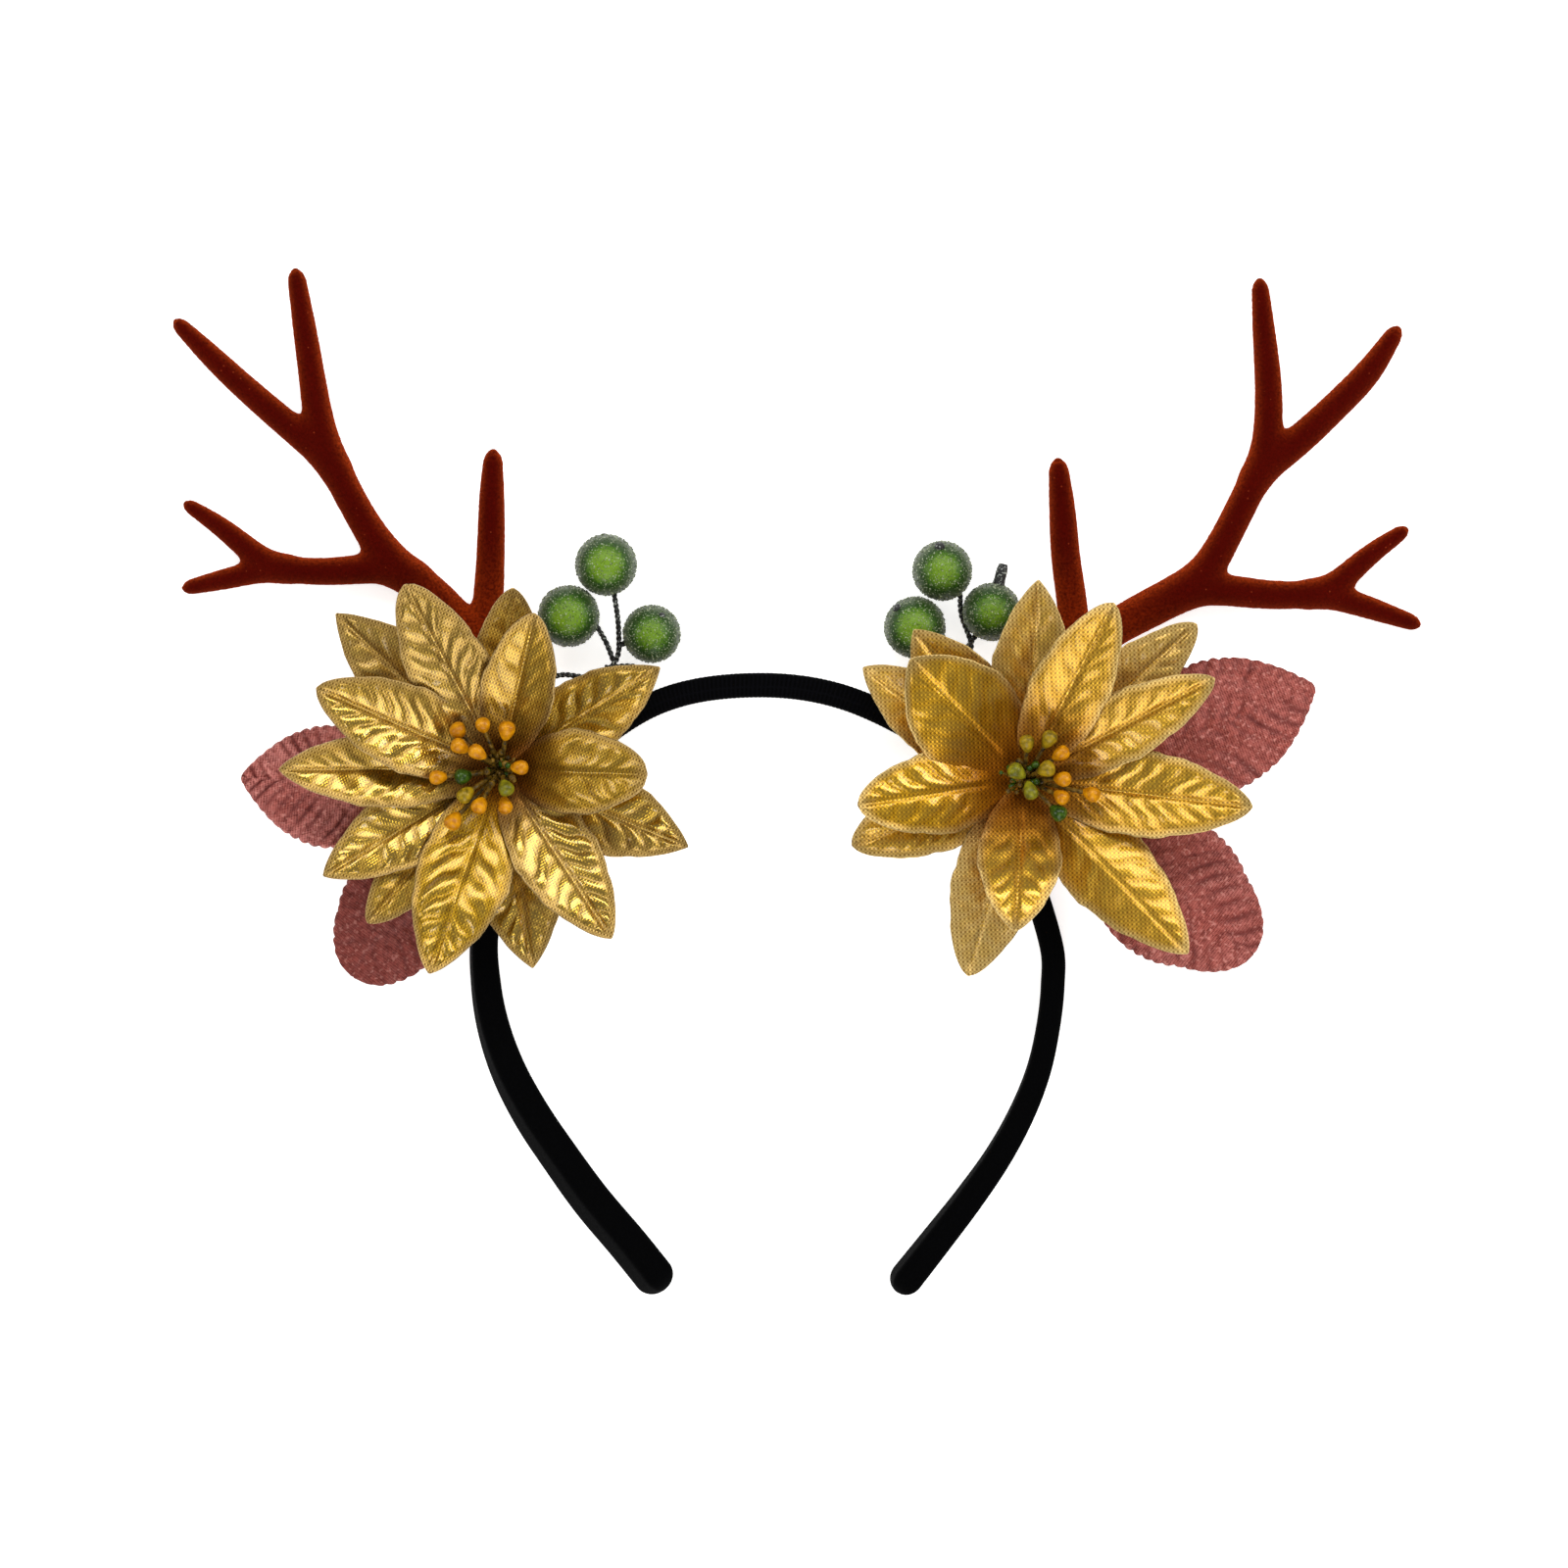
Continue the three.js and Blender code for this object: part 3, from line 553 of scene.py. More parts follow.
def makeFlower(flower, side):
    dice = np.random.default_rng(flower["seed"])
    finish = goldLame("goldLame" + side, flower["lame"])
    for layer in ("back", "front"):
        level = petalForm[layer + "Level"]
        shapes, marks, area = [], [], 0.0
        for row in flower[layer]:
            shape, cloth, flatArea = petalShape(flower, row, level, dice)
            shapes.append(shape)
            marks.append(cloth)
            area += flatArea
        hub = hubDisc(flower, level)
        shapes.append(hub)
        plain = np.zeros((len(hub[0]), 3))
        marks.append((plain, plain + [0, 0, petalForm["throatShade"]], plain + [petalForm["hubGold"], 0, 0]))
        name = "flower_%s_%s_petals" % (side.lower(), layer)
        joined = [np.concatenate(part) for part in zip(*marks)]
        piece = addPiece("lame_" + name, gather(shapes), finish, [name],
                         dict(zip(("clothAt", "clothMask", "clothEdge"), joined)))


makeFlower(leftFlower, "Left")
makeFlower(rightFlower, "Right")


leafForm = {
    "seed": 31,
    "level": 12.45,
    "flat": 25,
    "wall": 0.4,
    "alongStep": 0.6,
    "acrossSteps": 45,
    "ribDepth": 0.55,
    "ribSlant": 0.8,
    "ribWander": 0.12,
    "ribCells": 48,
    "midribDepth": 0.35,
    "midribReach": 0.7,
    "sway": 0.35,
    "crumpleHeight": 0.07,
    "crumpleWaves": 6,
    "crumpleLengths": (2.5, 8),
    "scallop": 2.5,
    "scallopDepth": 0.6,
    "twillMm": 0.65,
    # name, root x and y, angle, start, reach, width, droop, fold, tip, peak,
    # depth of the ribs, their pitch, painted shadow over the leaf, painted sheen on the crests
    "rows": [
        ("leaf_left_side", -57.9, 36.1, 174, 12, 57.2, 26.8, 3.5, -1.5, 0.25, 1.22, 1.7, 2.9, 0, 0.8),
        ("leaf_left_low", -57.9, 43.8, 234.3, 8, 55.8, 26.6, 5, -1.5, 0.75, 1.5, 0.8, 3.4, 0.45, 0.1),
        ("leaf_right_high", 57.9, 37.3, 21.6, 8, 66.6, 29.2, 3.5, -1.5, 0.3, 1.35, 1.2, 4.4, 0, 0.2),
        ("leaf_right_low", 56.5, 41.7, 322.8, 8, 63, 31.8, 5, -1.5, 0.65, 1.3, 1.2, 4, 0.05, 0.35),
    ],
}


# Polyester satin leaf cloth pressed and cut with a scalloped die: dusty rose, a painted soft sheen on each
# rib
def roseSatin():
    finish, tree = startFinish("roseSatinCloth", {
        "Roughness": 0.5,
        "Specular IOR Level": 0.2,
        "Sheen Weight": 0.05,
        "Sheen Roughness": 0.4,
        "Sheen Tint": "#e0a090",
    })
    cloth, place = marked(tree, "clothAt")
    paintedShading, dark, paintedCrestSheen = marked(tree, "clothMask")[1]
    # twill threads of about 0.3 mm, drawn about twice as coarse so that they show
    waves = []
    for slope in (0.6, -0.6):
        slant = calculate(tree, "MULTIPLY_ADD", place["X"], slope, place["Y"])
        turn = calculate(tree, "MULTIPLY", slant, 2 * math.pi / leafForm["twillMm"])
        waves.append(calculate(tree, "SINE", turn))
    weave = calculate(tree, "MULTIPLY", *waves)
    grain = noise(tree, cloth, scale=0.9, detail=4.0, Roughness=0.8)
    mixed = calculate(tree, "MULTIPLY_ADD", weave, 0.17, grain)
    level = rescale(tree, mixed, (0.3, 0.7))
    tint = blend(tree, level, "#5a1b15", "#b45b50")
    glint = noise(tree, cloth, scale=1.3, detail=1.0)
    flecked = blend(tree, rescale(tree, glint, (0.58, 0.72), (0.0, 0.75)), tint, "#d48a7e")
    # painted shade in the rib grooves
    paintedGrooveShade = rescale(tree, paintedShading, (0.0, 1.0), (0.65, 0.0))
    shaded = blend(tree, paintedGrooveShade, flecked, "#561c1b")
    # painted sheen on the rib crests, in paler patches
    withPaintedSheen = blend(tree, calculate(tree, "MULTIPLY", paintedCrestSheen, level), shaded, "#dc9088")
    paint(tree, {
        # painted shadow darkens a whole leaf by its own amount
        "Base Color": blend(tree, dark, withPaintedSheen, "#4a1008"),
        "Normal": bump(tree, mixed, strength=0.6, depth=0.05),
    })
    return finish


def leafShape(row, dice):
    rootX, rootY, angle, start, reach, width, droop, fold, tip, peak, ribs, pitch, dark, paintedCrestSheen = row
    form = leafForm
    u = np.linspace(0, 1, 2 * int((reach - start) / form["alongStep"]) + 1)[:, None]
    v = np.linspace(-1, 1, form["acrossSteps"])[None, :]
    side = np.where(v < 0, 0, 1)
    along = start + (reach - start) * u + 0 * v
    # a pointed lens and a blunt round end, blended where they meet
    blunt = tip * np.sqrt(np.clip(1 - ((1 - u) / 0.2 - 1) ** 2, 0, None)) * (u > 0.8)
    lens = np.sin(np.pi * u ** peak).clip(0) ** 0.8
    meet = np.clip(0.22 - np.abs(lens - blunt), 0, None) * smooth(tip * 2) * (u > 0.6)
    half = width / 2 * np.maximum(np.maximum(lens, blunt) + meet ** 2 / 0.88, 0.02)
    run = np.concatenate([[0], np.cumsum(np.hypot(np.diff(along[:, 0]), np.diff(half[:, 0])))])[:, None]
    bite = 1 - np.abs(np.sin(np.pi * run / form["scallop"] + 0.5 * np.sin(run / 6)))
    ragged = 0.7 + 0.5 * np.sin(run / 2.3 + dice.uniform(0, 6)) * np.sin(run / 5.1 + dice.uniform(0, 6))
    half = np.maximum(half - form["scallopDepth"] * ragged * bite * smooth(half / 4), 0.2)
    across = v * half
    past = np.clip((along - form["flat"]) / (reach - form["flat"]), 0, 1)
    bell = np.sin(np.pi * past) ** 0.7
    # broad crests and thin, uneven grooves, half a pitch apart on the two sides
    beat = (along - form["ribSlant"] * np.abs(across)) / pitch + 0.5 * side + 8
    beat = beat + form["ribWander"] * np.sin(along / 4 + dice.uniform(0, 6))
    beat = beat + form["ribWander"] * np.sin(across / 1.7 + dice.uniform(0, 6))
    cell = np.clip(np.floor(beat), 0, form["ribCells"] - 1).astype(int)
    depth = dice.uniform(0.35, 1.0, (2, form["ribCells"]))[side + 0 * cell, cell]
    fading = 0.65 + 0.35 * np.sin(across / 2.1 + along / 5 + dice.uniform(0, 6))
    wave = 1 - (0.5 - 0.5 * np.cos(2 * np.pi * beat)) ** 2 * depth * fading
    patch = 0.55 + 0.45 * np.sin(along / 4.3 + dice.uniform(0, 6)) * np.sin(across / 3.1 + dice.uniform(0, 6))
    pressed = smooth((along - start - 4) / 6) * smooth((half - np.abs(across)) / 1.2 + 0.25)
    midrib = np.exp(-(across / form["midribReach"]) ** 2)
    z = form["level"] - droop * past ** 1.5 - form["midribDepth"] * midrib
    z = z + (fold * np.abs(v) + form["sway"] * np.sin(along / 7 + 2 * v + dice.uniform(0, 6))) * bell
    small = crumple(along, across, dice, form["crumpleWaves"], form["crumpleLengths"])
    z = z + pressed * (form["ribDepth"] * ribs * wave ** 1.3 + form["crumpleHeight"] * small)
    x, y = turned((rootX, rootY), angle, along, across)
    clothAt = bothSides(along, across, np.full_like(x, dice.uniform(0, 50)))
    # painted shade in the grooves, a painted shadow over the leaf and a painted sheen on the crests
    paintedShading = bothSides(1 - ribs * pressed * (1 - wave), dark + 0 * x, paintedCrestSheen * pressed * wave ** 3 * patch)
    flatArea = float(np.sum((half[1:, 0] + half[:-1, 0]) * np.diff(along[:, 0])))
    return thickSheet(np.stack([x, y, z], axis=2), form["wall"]), clothAt, paintedShading, flatArea


satin = roseSatin()
leafDice = np.random.default_rng(leafForm["seed"])
for name, *row in leafForm["rows"]:
    start, reach, width = row[3:6]
    shape, clothAt, paintedShading, flatArea = leafShape(row, leafDice)
    piece = addPiece("satin_" + name, shape, satin, [name],
                     {"clothAt": clothAt, "clothMask": paintedShading})


# Flocked plastic: short red-brown nylon fibres stand on a moulded antler, so it looks soft and matt
# with a paler rim, partly from its sheen and partly a painted sheen on the flanks
def redBrownFlock():
    finish, tree = startFinish("redBrownFlock", {
        "Roughness": 0.9,
        "Sheen Weight": 0.65,
        "Sheen Roughness": 0.4,
        "Sheen Tint": "#d04c0c",
        "Specular IOR Level": 0.03,
    })
    where = objectPlace(tree)
    nap = noise(tree, where, scale=1 / (0.55 * mm), detail=2.0)
    patch = noise(tree, where, scale=1 / (9 * mm), detail=2.0)
    core = blend(tree, patch, "#3c0200", "#560701")
    # paler orange on the flanks, most on the side towards +Y, is a painted sheen; it is paler near the root
    # too
    base = blend(tree, marked(tree, "paintedSheenAndPaleRoot")[1]["X"], core, "#9a340a")
    dark = blend(tree, rescale(tree, nap, (0.3, 0.72), (0.15, 0.95)), "#3a0300", base)
    dust = rescale(tree, specks(tree, where, scale=1 / (2.4 * mm)), (0.05, 0.09), (0.45, 0.0))
    paint(tree, {
        "Base Color": blend(tree, dust, dark, "#a04020"),
        "Normal": bump(tree, nap, strength=0.5, depth=0.12),
    })
    return finish


antlerForm = {
    "seed": 4,
    "rodStep": 2.0,
    "easing": 6,  # rounds that even out each rod
    "sides": 20,
    "domeRings": 5,
    "voxel": 0.55,
    "web": 2.6,
    "drawRounds": 3,
    "probe": 0.02,
    "nap": 0.025,
    "flankFrom": 1.03,  # upright share of the skin's direction where the painted sheen on the flank begins
    "flankOver": 0.55,
    "rootFrom": 15,
    "rootOver": 28,
    "rootPale": 0.75,
    # balls past a branch's end fill a long rounded tip: step and radius, both in end radii
    "tip": [(0.4, 0.963), (0.8, 0.845), (1.244, 0.556)],
}
# each branch as x, y, z and radius
antlerLeft = [
    [(-57.5, 55.5, 6.5, 3.4), (-60, 65, 6.3, 3.4), (-65, 73.3, 5.8, 3.7), (-71.9, 81.2, 5.2, 4),
     (-81.3, 88.4, 4.8, 4.1), (-88.3, 98.2, 4.8, 3.35), (-95.4, 112, 5, 3.45), (-97.7, 118.3, 5.2, 3.4),
     (-99.3, 128.3, 5.6, 2.95), (-100.9, 139, 6.2, 2.65), (-102.6, 149.8, 7, 2.1)],
    [(-94.8, 109.8, 5, 2.6), (-100.5, 115.6, 5, 3.1), (-108, 122, 4.8, 2.95), (-116, 129, 4.4, 2.75),
     (-122.5, 135.2, 3.9, 2.45), (-127.5, 140.1, 3.4, 1.85)],
    [(-77, 86, 4.9, 2.8), (-84.5, 88.1, 4.6, 3.4), (-92.4, 87.3, 4.2, 3.1), (-100.9, 87.2, 3.8, 2.9),
     (-109.5, 88.8, 3.4, 2.9), (-115.6, 93.9, 3.2, 2.5), (-120.9, 98, 3, 2.1), (-125.3, 100.8, 2.8, 1.65)],
    [(-105.5, 87.6, 3.4, 2.4), (-110.5, 87.5, 3.1, 2.6), (-115.9, 86.2, 2.7, 2.4), (-121.2, 85, 2.4, 2.2),
     (-125.2, 84.1, 1.9, 1.75)],
    [(-61.2, 68, 6, 3.4), (-61.2, 76.5, 6.2, 3.5), (-60.6, 85.5, 6.5, 3.2), (-60.2, 96.2, 7, 3),
     (-60.1, 104.8, 7.4, 2.75), (-59.9, 109.8, 8, 2.3)],
]
antlerRight = [
    [(62, 54, 6.5, 3.4), (67.5, 64.1, 6.3, 3.5), (73.3, 72.8, 5.9, 3.8), (81.5, 77.8, 5.4, 4.2),
     (89.4, 81.9, 4.9, 4.3), (95.4, 86, 4.7, 3.9), (99.5, 92.5, 4.8, 3.4), (104.7, 102.8, 5, 3.3),
     (109.2, 112.5, 5.2, 3.4), (110, 120.2, 5.5, 3.1), (109.9, 129.1, 5.8, 2.95), (108.9, 139.7, 6.4, 2.5),
     (108.2, 147.8, 7, 2)],
    [(107.2, 107.6, 5, 2.6), (111.4, 111.6, 5, 3.4), (117.9, 117, 4.8, 3.3), (125.3, 124, 4.4, 3.1),
     (132.1, 130.9, 3.9, 2.95), (136.7, 137.8, 3.4, 2.1)],
    [(90.5, 82, 4.9, 2.8), (98, 83.4, 4.6, 3.5), (106.9, 82.3, 4.2, 3.25), (117.5, 82, 3.8, 3),
     (124.3, 83.6, 3.4, 2.9), (129.6, 88.8, 3.2, 2.5), (135.4, 93.2, 3, 2.1), (138.1, 95, 2.8, 1.75)],
    [(119.5, 82, 3.4, 2.5), (124.6, 81.7, 3.1, 2.8), (129.8, 80, 2.8, 2.6), (135.5, 78.2, 2.5, 2.3),
     (140.3, 76.5, 2.1, 1.9)],
    [(68.2, 67.5, 6, 3.4), (67.4, 75, 6.2, 3.4), (66.8, 81.5, 6.5, 3.3), (65.5, 89.8, 6.8, 3.2),
     (64.8, 100.5, 7.3, 2.95), (64.1, 107.8, 8, 2.35)],
]


# Distance from the rods' skin, with a soft web where rods meet
def rodDistance(points, rods):
    web = antlerForm["web"]
    total = np.full(len(points), 1e9)
    for rod in rods:
        best = np.full(len(points), 1e9)
        for start, span in zip(rod[:-1], np.diff(rod, axis=0)):
            away = points - start[:3]
            t = np.clip(away @ span[:3] / np.sum(span[:3] ** 2), 0, 1)
            gap = np.linalg.norm(away - t[:, None] * span[:3], axis=1)
            best = np.minimum(best, gap - start[3] - t * span[3])
        near = np.clip(web - np.abs(total - best), 0, None) / web
        total = np.minimum(total, best) - near ** 2 * web / 4
    return total


def domed(path, radius):
    bow = np.linspace(0, np.pi / 2, antlerForm["domeRings"] + 1)[1:] * 0.97
    cap = path[-1] + radius[-1] * np.sin(bow)[:, None] * unit(path[-1] - path[-2])
    return np.concatenate([path, cap]), np.concatenate([radius, radius[-1] * np.cos(bow)])


def antlerShape(branches):
    form = antlerForm
    rods = []
    for branch in branches:
        rod = evenly(curveThrough(branch, steps=6), form["rodStep"])[0]
        for _ in range(form["easing"]):
            rod[1:-1] = (rod[:-2] + 2 * rod[1:-1] + rod[2:]) / 4
        end, radius = rod[-1, :3], rod[-1, 3]
        ahead = unit(end - rod[-2, :3])
        rods.append(np.concatenate([rod, [[*(end + ahead * step * radius), size * radius]
                                          for step, size in form["tip"]]]))
    points, faces = gather([tube(*domed(rod[:, :3], rod[:, 3]), form["sides"]) for rod in rods])
    rough = bpy.data.meshes.new("roughAntler")
    rough.from_pydata((points * mm).tolist(), [], faces)
    roughObject = bpy.data.objects.new("roughAntler", rough)
    scene.collection.objects.link(roughObject)
    remesh = roughObject.modifiers.new("oneSkin", "REMESH")
    remesh.mode = "VOXEL"
    remesh.voxel_size = form["voxel"] * mm
    skin = bpy.data.meshes.new_from_object(roughObject.evaluated_get(bpy.context.evaluated_depsgraph_get()))
    points = np.zeros(len(skin.vertices) * 3, np.float32)
    skin.vertices.foreach_get("co", points)
    points = points.reshape(-1, 3).astype(float) / mm
    faces = [list(face.vertices) for face in skin.polygons]
    bpy.data.objects.remove(roughObject)
    bpy.data.meshes.remove(skin)
    for _ in range(form["drawRounds"]):  # draw the skin onto the rods with webbed forks
        here = rodDistance(points, rods)
        probes = [rodDistance(points + form["probe"] * axis, rods) - here for axis in np.eye(3)]
        slope = unit(np.stack(probes, axis=1) / form["probe"], 1e-9)
        points = points - here[:, None] * slope
    nap = np.random.default_rng(form["seed"]).normal(0, form["nap"], len(points))
    # painted sheen: flanks that stand upright get paler, more on the side facing +Y
    paintedFlankSheen = smooth((form["flankFrom"] - np.abs(slope[:, 2])) / form["flankOver"])
    paintedFlankSheen = paintedFlankSheen * (0.25 + 0.75 * smooth(0.5 + 0.9 * slope[:, 1]))
    fromRoot = np.linalg.norm(points[:, :2] - rods[0][0, :2], axis=1)
    root = 1 - smooth((fromRoot - form["rootFrom"]) / form["rootOver"])
    paintedSheenAndPaleRoot = np.outer(np.clip(paintedFlankSheen + form["rootPale"] * root, 0, 1), [1, 0, 0])
    return (points + nap[:, None] * slope, faces), paintedSheenAndPaleRoot


flock = redBrownFlock()
for side, branches in (("left", antlerLeft), ("right", antlerRight)):
    shape, paintedSheenAndPaleRoot = antlerShape(branches)
    addPiece("flocked_antler_" + side, shape, flock, ["antler_" + side],
             {"paintedSheenAndPaleRoot": paintedSheenAndPaleRoot})


# Velvet ribbon wound tightly round a springy strip: nearly black, with a soft nap and faint ribs over the top
def blackVelvet():
    finish, tree = startFinish("blackVelvet", {
        "Roughness": 0.95,
        "Specular IOR Level": 0.03,
        "Sheen Weight": 0.012,
        "Sheen Roughness": 0.3,
        "Sheen Tint": "#8a8a92",
    })
    nap = noise(tree, objectPlace(tree), scale=1 / (0.5 * mm), detail=2.0)
    tint = blend(tree, nap, "#010101", "#050506")
    paint(tree, {
        # painted highlight: paler on the rib crests over the top and along the ribbon's edge
        "Base Color": blend(tree, marked(tree, "paintedCrestHighlight")[1]["X"], tint, "#08080b"),
        "Normal": bump(tree, nap, strength=0.4, depth=0.08),
    })
    return finish


bandForm = {
    "deep": 10,
    "corner": 1.5,
    "cornerPoints": 6,
    "sidePoints": 5,
    "endRounding": 4,
    "ringSpacing": 0.24,
    "armStride": 4,  # plain arms need fewer rings than the ribbed top
    "ribbedFrom": 25,  # degrees round the hoop
    "ribbedTo": 155,
    "ribFade": 20,
    "ribPitch": 0.95,
    "ribHeight": 0.13,
    "windSlant": 1.4,  # rib pitches that the ribbon climbs in one turn
    "ribbonEdge": 0.16,  # depth of the line where the ribbon ends
    "edgeAt": 0.47,  # its place, wander and reach as shares of the girth
    "edgeWander": 0.02,
    "edgeWave": 37,
    "edgeReach": 0.012,
    "sections": [  # angle, radius, turn, thickness
        (252.4, 73.6, 20, 6.9), (243.4, 67.4, 21, 6.8), (232.9, 63.5, 21, 6.7), (222.8, 61.2, 20, 6.6),
        (211.9, 60.5, 18, 6.6), (201.8, 60.7, 14, 6.5), (192.3, 61.1, 10, 6.3), (183.4, 61.5, 7, 6),
        (172, 62.2, 5, 5.6), (150, 63, 0, 5.4), (115, 63.1, 0, 5.4), (92, 62.3, 0, 5.4), (70, 61.8, 0, 5.5),
        (40, 62, 0, 5.3), (5, 62.6, 0, 5.1), (-3.3, 62.8, 0, 5.1), (-11.8, 63, 0, 5.1),
        (-20.6, 63.6, -1, 5.2), (-29.4, 64.2, -2, 5.4), (-38.7, 65.2, -3, 5.6), (-48.3, 66.9, -5, 5.8),
        (-57.8, 70, -7, 6), (-68.1, 76, -9, 6.2),
    ],
}


def bandOutline(thick):
    corner = bandForm["corner"]
    wide, deep = thick / 2 - corner, bandForm["deep"] / 2 - corner
    corners = [(wide, -deep), (wide, deep), (-wide, deep), (-wide, -deep)]
    found = []
    for k, (x, y) in enumerate(corners):
        for swing in np.linspace(90 * k - 90, 90 * k, bandForm["cornerPoints"]):
            turn = math.radians(swing)
            found.append((x + corner * math.cos(turn), y + corner * math.sin(turn)))
        nextX, nextY = corners[(k + 1) % 4]
        turn = math.radians(90 * k)
        for share in np.linspace(0, 1, bandForm["sidePoints"] + 2)[1:-1]:
            found.append((x + share * (nextX - x) + corner * math.cos(turn),
                          y + share * (nextY - y) + corner * math.sin(turn)))
    return np.array(found)


def bandShape():
    form = bandForm
    rows = [(radius * math.cos(math.radians(angle)), radius * math.sin(math.radians(angle)), 0.0, turn, thick)
            for angle, radius, turn, thick in form["sections"]]
    path, run = evenly(curveThrough(rows, steps=24), form["ringSpacing"])
    ahead = unit(np.gradient(path[:, :2], axis=0))
    rings, paintedHighlightRows = [], []
    for i, (pathX, pathY, _, lean, thick) in enumerate(path):
        near = min(run[i], run[-1] - run[i]) / form["endRounding"]
        swing = math.degrees(math.atan2(pathY, pathX))
        over = float(smooth((swing - form["ribbedFrom"]) / form["ribFade"])
                     * smooth((form["ribbedTo"] - swing) / form["ribFade"]))
        if over == 0 and near > 1 and i % form["armStride"]:
            continue
        outline = bandOutline(thick)
        shrink = 1.0 if near >= 1 else math.sqrt(max(1 - 0.985 * (1 - near) ** 2, 0.0))
        girth = np.linspace(0, 1, len(outline), endpoint=False)
        wrap = np.abs(np.sin(math.pi * (run[i] / form["ribPitch"] + form["windSlant"] * girth)))
        fromSeam = girth - form["edgeAt"] - form["edgeWander"] * math.sin(run[i] / form["edgeWave"])
        seam = np.exp(-(fromSeam / form["edgeReach"]) ** 2)
        push = form["ribHeight"] * over * (wrap - 1) - form["ribbonEdge"] * seam * over
        outline = outline * (1 + push / np.linalg.norm(outline, axis=1))[:, None]
        cosine, sine = math.cos(math.radians(lean)), math.sin(math.radians(lean))
        leaned = shrink * outline @ np.array([[cosine, sine], [-sine, cosine]])
        lowest = form["deep"] / 2 * cosine + thick / 2 * abs(sine) - form["corner"] * (cosine + abs(sine) - 1)
        rings.append(np.stack([pathX - ahead[i, 1] * leaned[:, 0], pathY + ahead[i, 0] * leaned[:, 0],
                               lowest + leaned[:, 1]], axis=1))
        # painted highlight on the rib crests and along the ribbon's edge
        paintedHighlightRows.append(over * np.maximum(wrap ** 4, 0.9 * seam))
    count, sides = len(rings), len(rings[0])
    points = np.concatenate(rings + [rings[0].mean(axis=0)[None], rings[-1].mean(axis=0)[None]])
    paintedCrestHighlight = np.zeros((len(points), 3))
    paintedCrestHighlight[:count * sides, 0] = np.concatenate(paintedHighlightRows)
    return (points, closedFaces(count, sides)), paintedCrestHighlight


bandSkin, paintedCrestHighlight = bandShape()
addPiece("velvet_band", bandSkin, blackVelvet(), ["band"], {"paintedCrestHighlight": paintedCrestHighlight})


# Pressed wool felt: a plain black backing disc with a hairy cut edge
def blackFelt():
    finish, tree = startFinish("blackFelt", {
        "Roughness": 1.0,
        "Specular IOR Level": 0.1,
        "Sheen Weight": 0.15,
        "Sheen Roughness": 0.5,
    })
    hair = noise(tree, objectPlace(tree), scale=1 / (0.9 * mm), detail=5.0, Distortion=1.5)
    paint(tree, {
        "Base Color": blend(tree, hair, "#0a0a0b", "#242427"),
        "Normal": bump(tree, hair, strength=0.8, depth=0.15),
    })
    return finish


padForm = {
    "seed": 8,
    "radius": 16,
    "floor": 10.3,
    "thick": 1.2,
    "shift": 5,  # outwards from the flower's centre, so that the hollow stays open
    "sides": 160,
    "edgeHair": 0.12,
    "lump": 0.05,
    # share of the radius, share of the thickness
    "profile": [(0.0, 0.0), (0.5, 0.0), (0.97, 0.0), (1.0, 0.25), (1.0, 0.75), (0.97, 1.0), (0.5, 1.0),
                (0.0, 1.0)],
}


def padShape(centre, dice):
    form = padForm
    middle = np.array(centre) * (1 + form["shift"] / np.hypot(*centre))
    sides = form["sides"]
    turn = np.arange(sides) * 2 * np.pi / sides
    edge = form["radius"] - form["edgeHair"] * dice.random(sides)
    rings = []
    for share, rise in form["profile"]:
        lump = form["lump"] * dice.normal(size=sides) * (0 < share < 0.99)
        height = form["floor"] + np.clip(rise * form["thick"] + lump, 0, form["thick"])
        spread = edge * max(share, 0.01)
        x, y = middle[0] + spread * np.cos(turn), middle[1] + spread * np.sin(turn)
        rings.append(np.stack([x, y, height], axis=1))
    faces = gridFaces(len(rings), sides, closed=True)
    faces.append(list(range(sides))[::-1])
    faces.append([(len(rings) - 1) * sides + j for j in range(sides)])
    return np.concatenate(rings), faces


felt = blackFelt()
padDice = np.random.default_rng(padForm["seed"])
for side, flower in (("left", leftFlower), ("right", rightFlower)):
    shape = padShape(flower["centre"], padDice)
    piece = addPiece("felt_pad_" + side, shape, felt, ["pad_" + side])
    width = 2 * padForm["radius"] * mm


# Dipped lacquer pips on thread stems: glossy orange, lime and dark green drops with a little glitter
def pipLacquer(name, light, dark, gloss):
    finish, tree = startFinish(name, {
        "Roughness": gloss,
        "Specular IOR Level": 0.2,
        "Coat Weight": 0.12,
        "Coat Roughness": 0.1,
    })
    where = objectPlace(tree)
    mottle = noise(tree, where, scale=1 / (1.3 * mm), detail=2.0)
    grit = specks(tree, where, scale=1 / (0.5 * mm))
    paint(tree, {
        "Base Color": blend(tree, rescale(tree, mottle, (0.35, 0.65)), dark, light),
        "Normal": bump(tree, grit, strength=0.35, depth=0.1),
    })
    return finish


